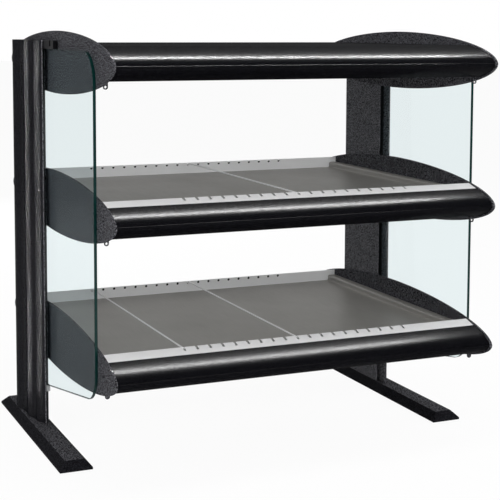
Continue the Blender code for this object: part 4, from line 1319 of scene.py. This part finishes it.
# Lamps
# A long clear tube between two ceramic ends, with a fine coiled filament on its axis.
lamp_radius = 0.006
lamp_end_length = 0.030
filament_radius = 0.0006
lamp_glass = glass_finish("lamp_glass", (0.97, 0.97, 0.96, 1), 0.0, 0.00001)
for tier in ("mid", "canopy"):
    name = tier + "_lamp"
    low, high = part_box(name)
    end_radius = (high[2] - low[2]) / 2
    centre = ((low[0] + high[0]) / 2, (low[1] + high[1]) / 2, (low[2] + high[2]) / 2)
    half = (high[0] - low[0]) / 2
    shoulder = half - lamp_end_length
    bulb = piece(name + "_tube", *turned(barrel(lamp_radius, -shoulder, shoulder, 0.002), centre, (1, 0, 0)), lamp_glass)
    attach(bulb, "frame")
    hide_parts(name)
    line = [(centre[0] - shoulder, centre[1], centre[2]), (centre[0], centre[1], centre[2]),
            (centre[0] + shoulder, centre[1], centre[2])]
    filament = piece(name + "_filament", *tube(line, filament_radius, (0, 0, 1), 8), sheath)
    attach(filament, "frame")
    for facing, word in ((-1, "left"), (1, "right")):
        profile = barrel(end_radius, 0, lamp_end_length, 0.0015)
        place = (centre[0] + facing * half, centre[1], centre[2])
        holder = piece(name + "_" + word + "_end", *turned(profile, place, (-facing, 0, 0)), ceramic)
        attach(holder, "frame")


# Element guards
# A welded grille of bright steel wire under each trough: long wires, cross wires and a frame of the same wire.
guard_bar = 0.003
guard_cells = (10, 3)
guard_tone = (0.58, 0.58, 0.59)
guard_steel = brushed_finish(
    "guard_wire", guard_tone, darker(guard_tone, 0.8), (200, 200, 200), 0.2, 0.34, 0.00003, {"Metallic": 1.0}
)
for tier in ("mid", "canopy"):
    name = tier + "_element_guard"
    low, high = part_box(name)
    radius = (high[2] - low[2]) / 2
    level = (high[2] + low[2]) / 2
    inner = guard_bar / 2
    wires = []
    for y in np.linspace(low[1] + inner, high[1] - inner, guard_cells[1] + 1):
        wires.append(tube([(low[0], y, level), (0, y, level), (high[0], y, level)], radius, (0, 0, 1), 10))
    for x in np.linspace(low[0] + inner, high[0] - inner, guard_cells[0] + 1):
        wires.append(tube([(x, low[1], level), (x, 0, level), (x, high[1], level)], radius, (0, 0, 1), 10))
    counts = np.cumsum([0] + [len(points) for points, faces in wires])
    faces = np.concatenate([wire_faces + count for count, (points, wire_faces) in zip(counts, wires)])
    grille = piece(name + "_wires", np.concatenate([points for points, wire_faces in wires]), faces, guard_steel)
    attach(grille, "frame")
    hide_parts(name)


# Control boxes
# Black moulded boxes let into the rear rails' flat faces. The plate has a deep well for a rocker and a bore for
# a knob's shaft.
plate_thickness = 0.0017
box_margin = 0.002
rocker_width = 0.015
well_half_height = 0.0125
well_depth = 0.0093
shaft_bore = 0.0033
mark_white = (0.72, 0.72, 0.72)
mark_paint = mottled_finish(
    "white_mark", mark_white, darker(mark_white, 0.95), 200, 0.5, 0.6, 0.00002, {"Specular IOR Level": 0.3}
)
for tier, height in tiers.items():
    name = tier + "_control_box"
    low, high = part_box(name)
    plate_back = high[1] - plate_thickness
    well = rectangle(
        (switch_x - rocker_width / 2 - 0.0003, switch_x + rocker_width / 2 + 0.0003),
        (height - well_half_height, height + well_half_height),
        0.0008,
        4,
    )
    plate = rectangle((low[0], high[0]), (low[2], high[2]), 0.003)
    bore = ring((knob_x, height), shaft_bore)
    facia = piece(name + "_plate", *carried([plate, well, bore], "y", plate_back, high[1], 0.0005), black_plastic)
    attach(facia, "frame")
    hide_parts(name)

    body_low = (low[0] + box_margin, low[1], low[2] + box_margin)
    body_high = (high[0] - box_margin, plate_back, high[2] - box_margin)
    shell = rectangle((body_low[0], body_high[0]), (body_low[2], body_high[2]), 0.002)
    well_floor = high[1] - well_depth
    back = block(name + "_back", body_low, (body_high[0], well_floor, body_high[2]), black_plastic, axis="y", corner=0.002)
    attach(back, "frame")
    front = piece(
        name + "_body", *carried([shell, well, bore], "y", well_floor, plate_back, 0.0002), black_plastic
    )
    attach(front, "frame")
    cut(back, *carried([bore], "y", low[1] + 0.008, well_floor + 0.002, 0.0001, 1))


# Rockers
# A glossy rocker with a hollow crown, marked with a raised bar on one half and a ring on the other.
rocker_half = 0.011
rocker_crown = 0.0065
rocker_valley = 0.0045
pivot_depth = 0.004
rocker_tilt = np.radians(-10)
mark_depth = 0.0005
rocker_black = mottled_finish(
    "glossy_rocker", plastic_black, darker(plastic_black, 1.3), 120, 0.16, 0.24, 0.00003, {"Specular IOR Level": 0.5}
)


def tilted(points, height, pivot_y):
    """Points given about a rocker's pivot, turned to its rest tilt and put in place."""
    turn = np.array(Matrix.Rotation(rocker_tilt, 3, "X"))
    return np.asarray(points) @ turn.T + np.array((switch_x, pivot_y, height))


for tier, height in tiers.items():
    name = tier + "_rocker"
    pivot_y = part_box(tier + "_control_box")[1][1] - pivot_depth
    up = np.linspace(-1, 1, 25)
    crown = np.stack([rocker_valley + (rocker_crown - rocker_valley) * np.abs(up) ** 1.7, up * rocker_half], 1)
    foot = [
        (-pivot_depth / 4, rocker_half), (-pivot_depth, rocker_half / 3),
        (-pivot_depth, -rocker_half / 3), (-pivot_depth / 4, -rocker_half),
    ]
    half = rocker_width / 2
    points, faces = carried([np.concatenate([crown, foot])], "x", -half, half, 0.0007)
    paddle = piece(name + "_paddle", tilted(points, height, pivot_y), faces, rocker_black)
    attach(paddle, name)
    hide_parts(name)

    face = rocker_valley + (rocker_crown - rocker_valley) * 0.55 ** 1.7
    level = (face - mark_depth, face + mark_depth)
    bar = carried([rectangle((-0.0005, 0.0005), (0.0045, 0.0075), 0.0004, 4)], "y", *level, 0.0001, 2)
    circle = carried([ring((0, -0.006), 0.0015, 32), ring((0, -0.006), 0.0009, 32)], "y", *level, 0.0001, 2)
    for word, (points, faces) in (("on", bar), ("off", circle)):
        mark = piece(name + "_" + word + "_mark", tilted(points, height, pivot_y), faces, mark_paint)
        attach(mark, name)


# Knobs
# A skirted black knob with a fluted grip and a white pointer line, on a steel shaft.
knob_radius = 0.0155
knob_height = 0.0165
grip_share = 0.56
skirt_share = 0.34
knob_flutes = 12
shaft_radius = 0.003
shaft_length = 0.012


def fluted_knob(centre_x, face_y, centre_z, sides=144):
    """Rings of a knob: a sloped skirt, then a grip whose radius waves with the angle."""
    angle = np.linspace(0, 2 * np.pi, sides, endpoint=False)
    wave = 0.04 * np.cos(knob_flutes * angle)
    shares = np.array([
        (0.0, 0.02, 0), (0.94, 0.02, 0), (1.0, 0.06, 0), (1.0, 0.20, 0), (0.97, 0.25, 0), (0.70, skirt_share, 0),
        (grip_share + 0.03, 0.40, 0.5), (grip_share, 0.50, 1), (grip_share - 0.01, 0.90, 1),
        (grip_share - 0.04, 0.97, 0.7), (grip_share - 0.10, 1.0, 0.2), (0.0, 1.0, 0),
    ])
    radii = knob_radius * (shares[:, :1] + shares[:, 2:] * wave)
    heights = np.repeat(knob_height * shares[:, 1:2], sides, 1)
    points = np.stack([radii * np.cos(angle), heights, radii * np.sin(angle)], -1).reshape(-1, 3)
    return points + np.array((centre_x, face_y, centre_z)), quads(len(shares), sides)


for tier, height in tiers.items():
    name = tier + "_knob"
    face_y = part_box(tier + "_control_box")[1][1]
    grip = piece(name + "_grip", *fluted_knob(knob_x, face_y, height), black_plastic, 30)
    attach(grip, name)
    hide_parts(name)
    profile = barrel(shaft_radius, -shaft_length, knob_height / 2, 0.0004)
    shaft = piece(name + "_shaft", *turned(profile, (knob_x, face_y, height), (0, 1, 0)), zinc_steel)
    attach(shaft, name)
    reach = knob_radius * (grip_share - 0.08)
    line = rectangle((knob_x - 0.0006, knob_x + 0.0006), (height + reach * 0.25, height + reach), 0.0005, 4)
    crown_y = face_y + knob_height
    pointer = piece(name + "_pointer", *carried([line], "y", crown_y - 0.0004, crown_y + 0.0003, 0.0001, 2), mark_paint)
    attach(pointer, name)


# Cord gland
# A black nylon gland on the lower rear rail: a hexagon collar outside, a threaded neck through the wall, a
# nut behind it, and an open bore for the supply cord.
gland_collar = (0.011, 0.006)
gland_neck = 0.008
gland_bore = 0.004
low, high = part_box("cord_gland")
gland_centre = ((low[0] + high[0]) / 2, (low[2] + high[2]) / 2)
wall_back = rail_face - rail_wall - 0.0008


def hexagon(centre, radius):
    angle = np.arange(6) * np.pi / 3
    corners = np.stack([centre[0] + radius * np.cos(angle), centre[1] + radius * np.sin(angle)], 1)
    return rounded(corners, radius * 0.12, 5)


bore = ring(gland_centre, gland_bore, 32)
stretches = (
    ("collar", hexagon(gland_centre, gland_collar[0]), rail_face + 0.0003, high[1] - 0.002, 0.0008),
    ("mouth", ring(gland_centre, gland_neck, 40), high[1] - 0.002, high[1], 0.0008),
    ("neck", ring(gland_centre, gland_neck, 40), wall_back, rail_face + 0.0003, 0.0001),
    ("nut", hexagon(gland_centre, gland_collar[0]), low[1], wall_back, 0.0006),
)
for word, outline, start, end, rim in stretches:
    part = piece("gland_" + word, *carried([outline, bore], "y", start, end, rim), black_plastic)
    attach(part, "frame")
    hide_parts("cord_gland")
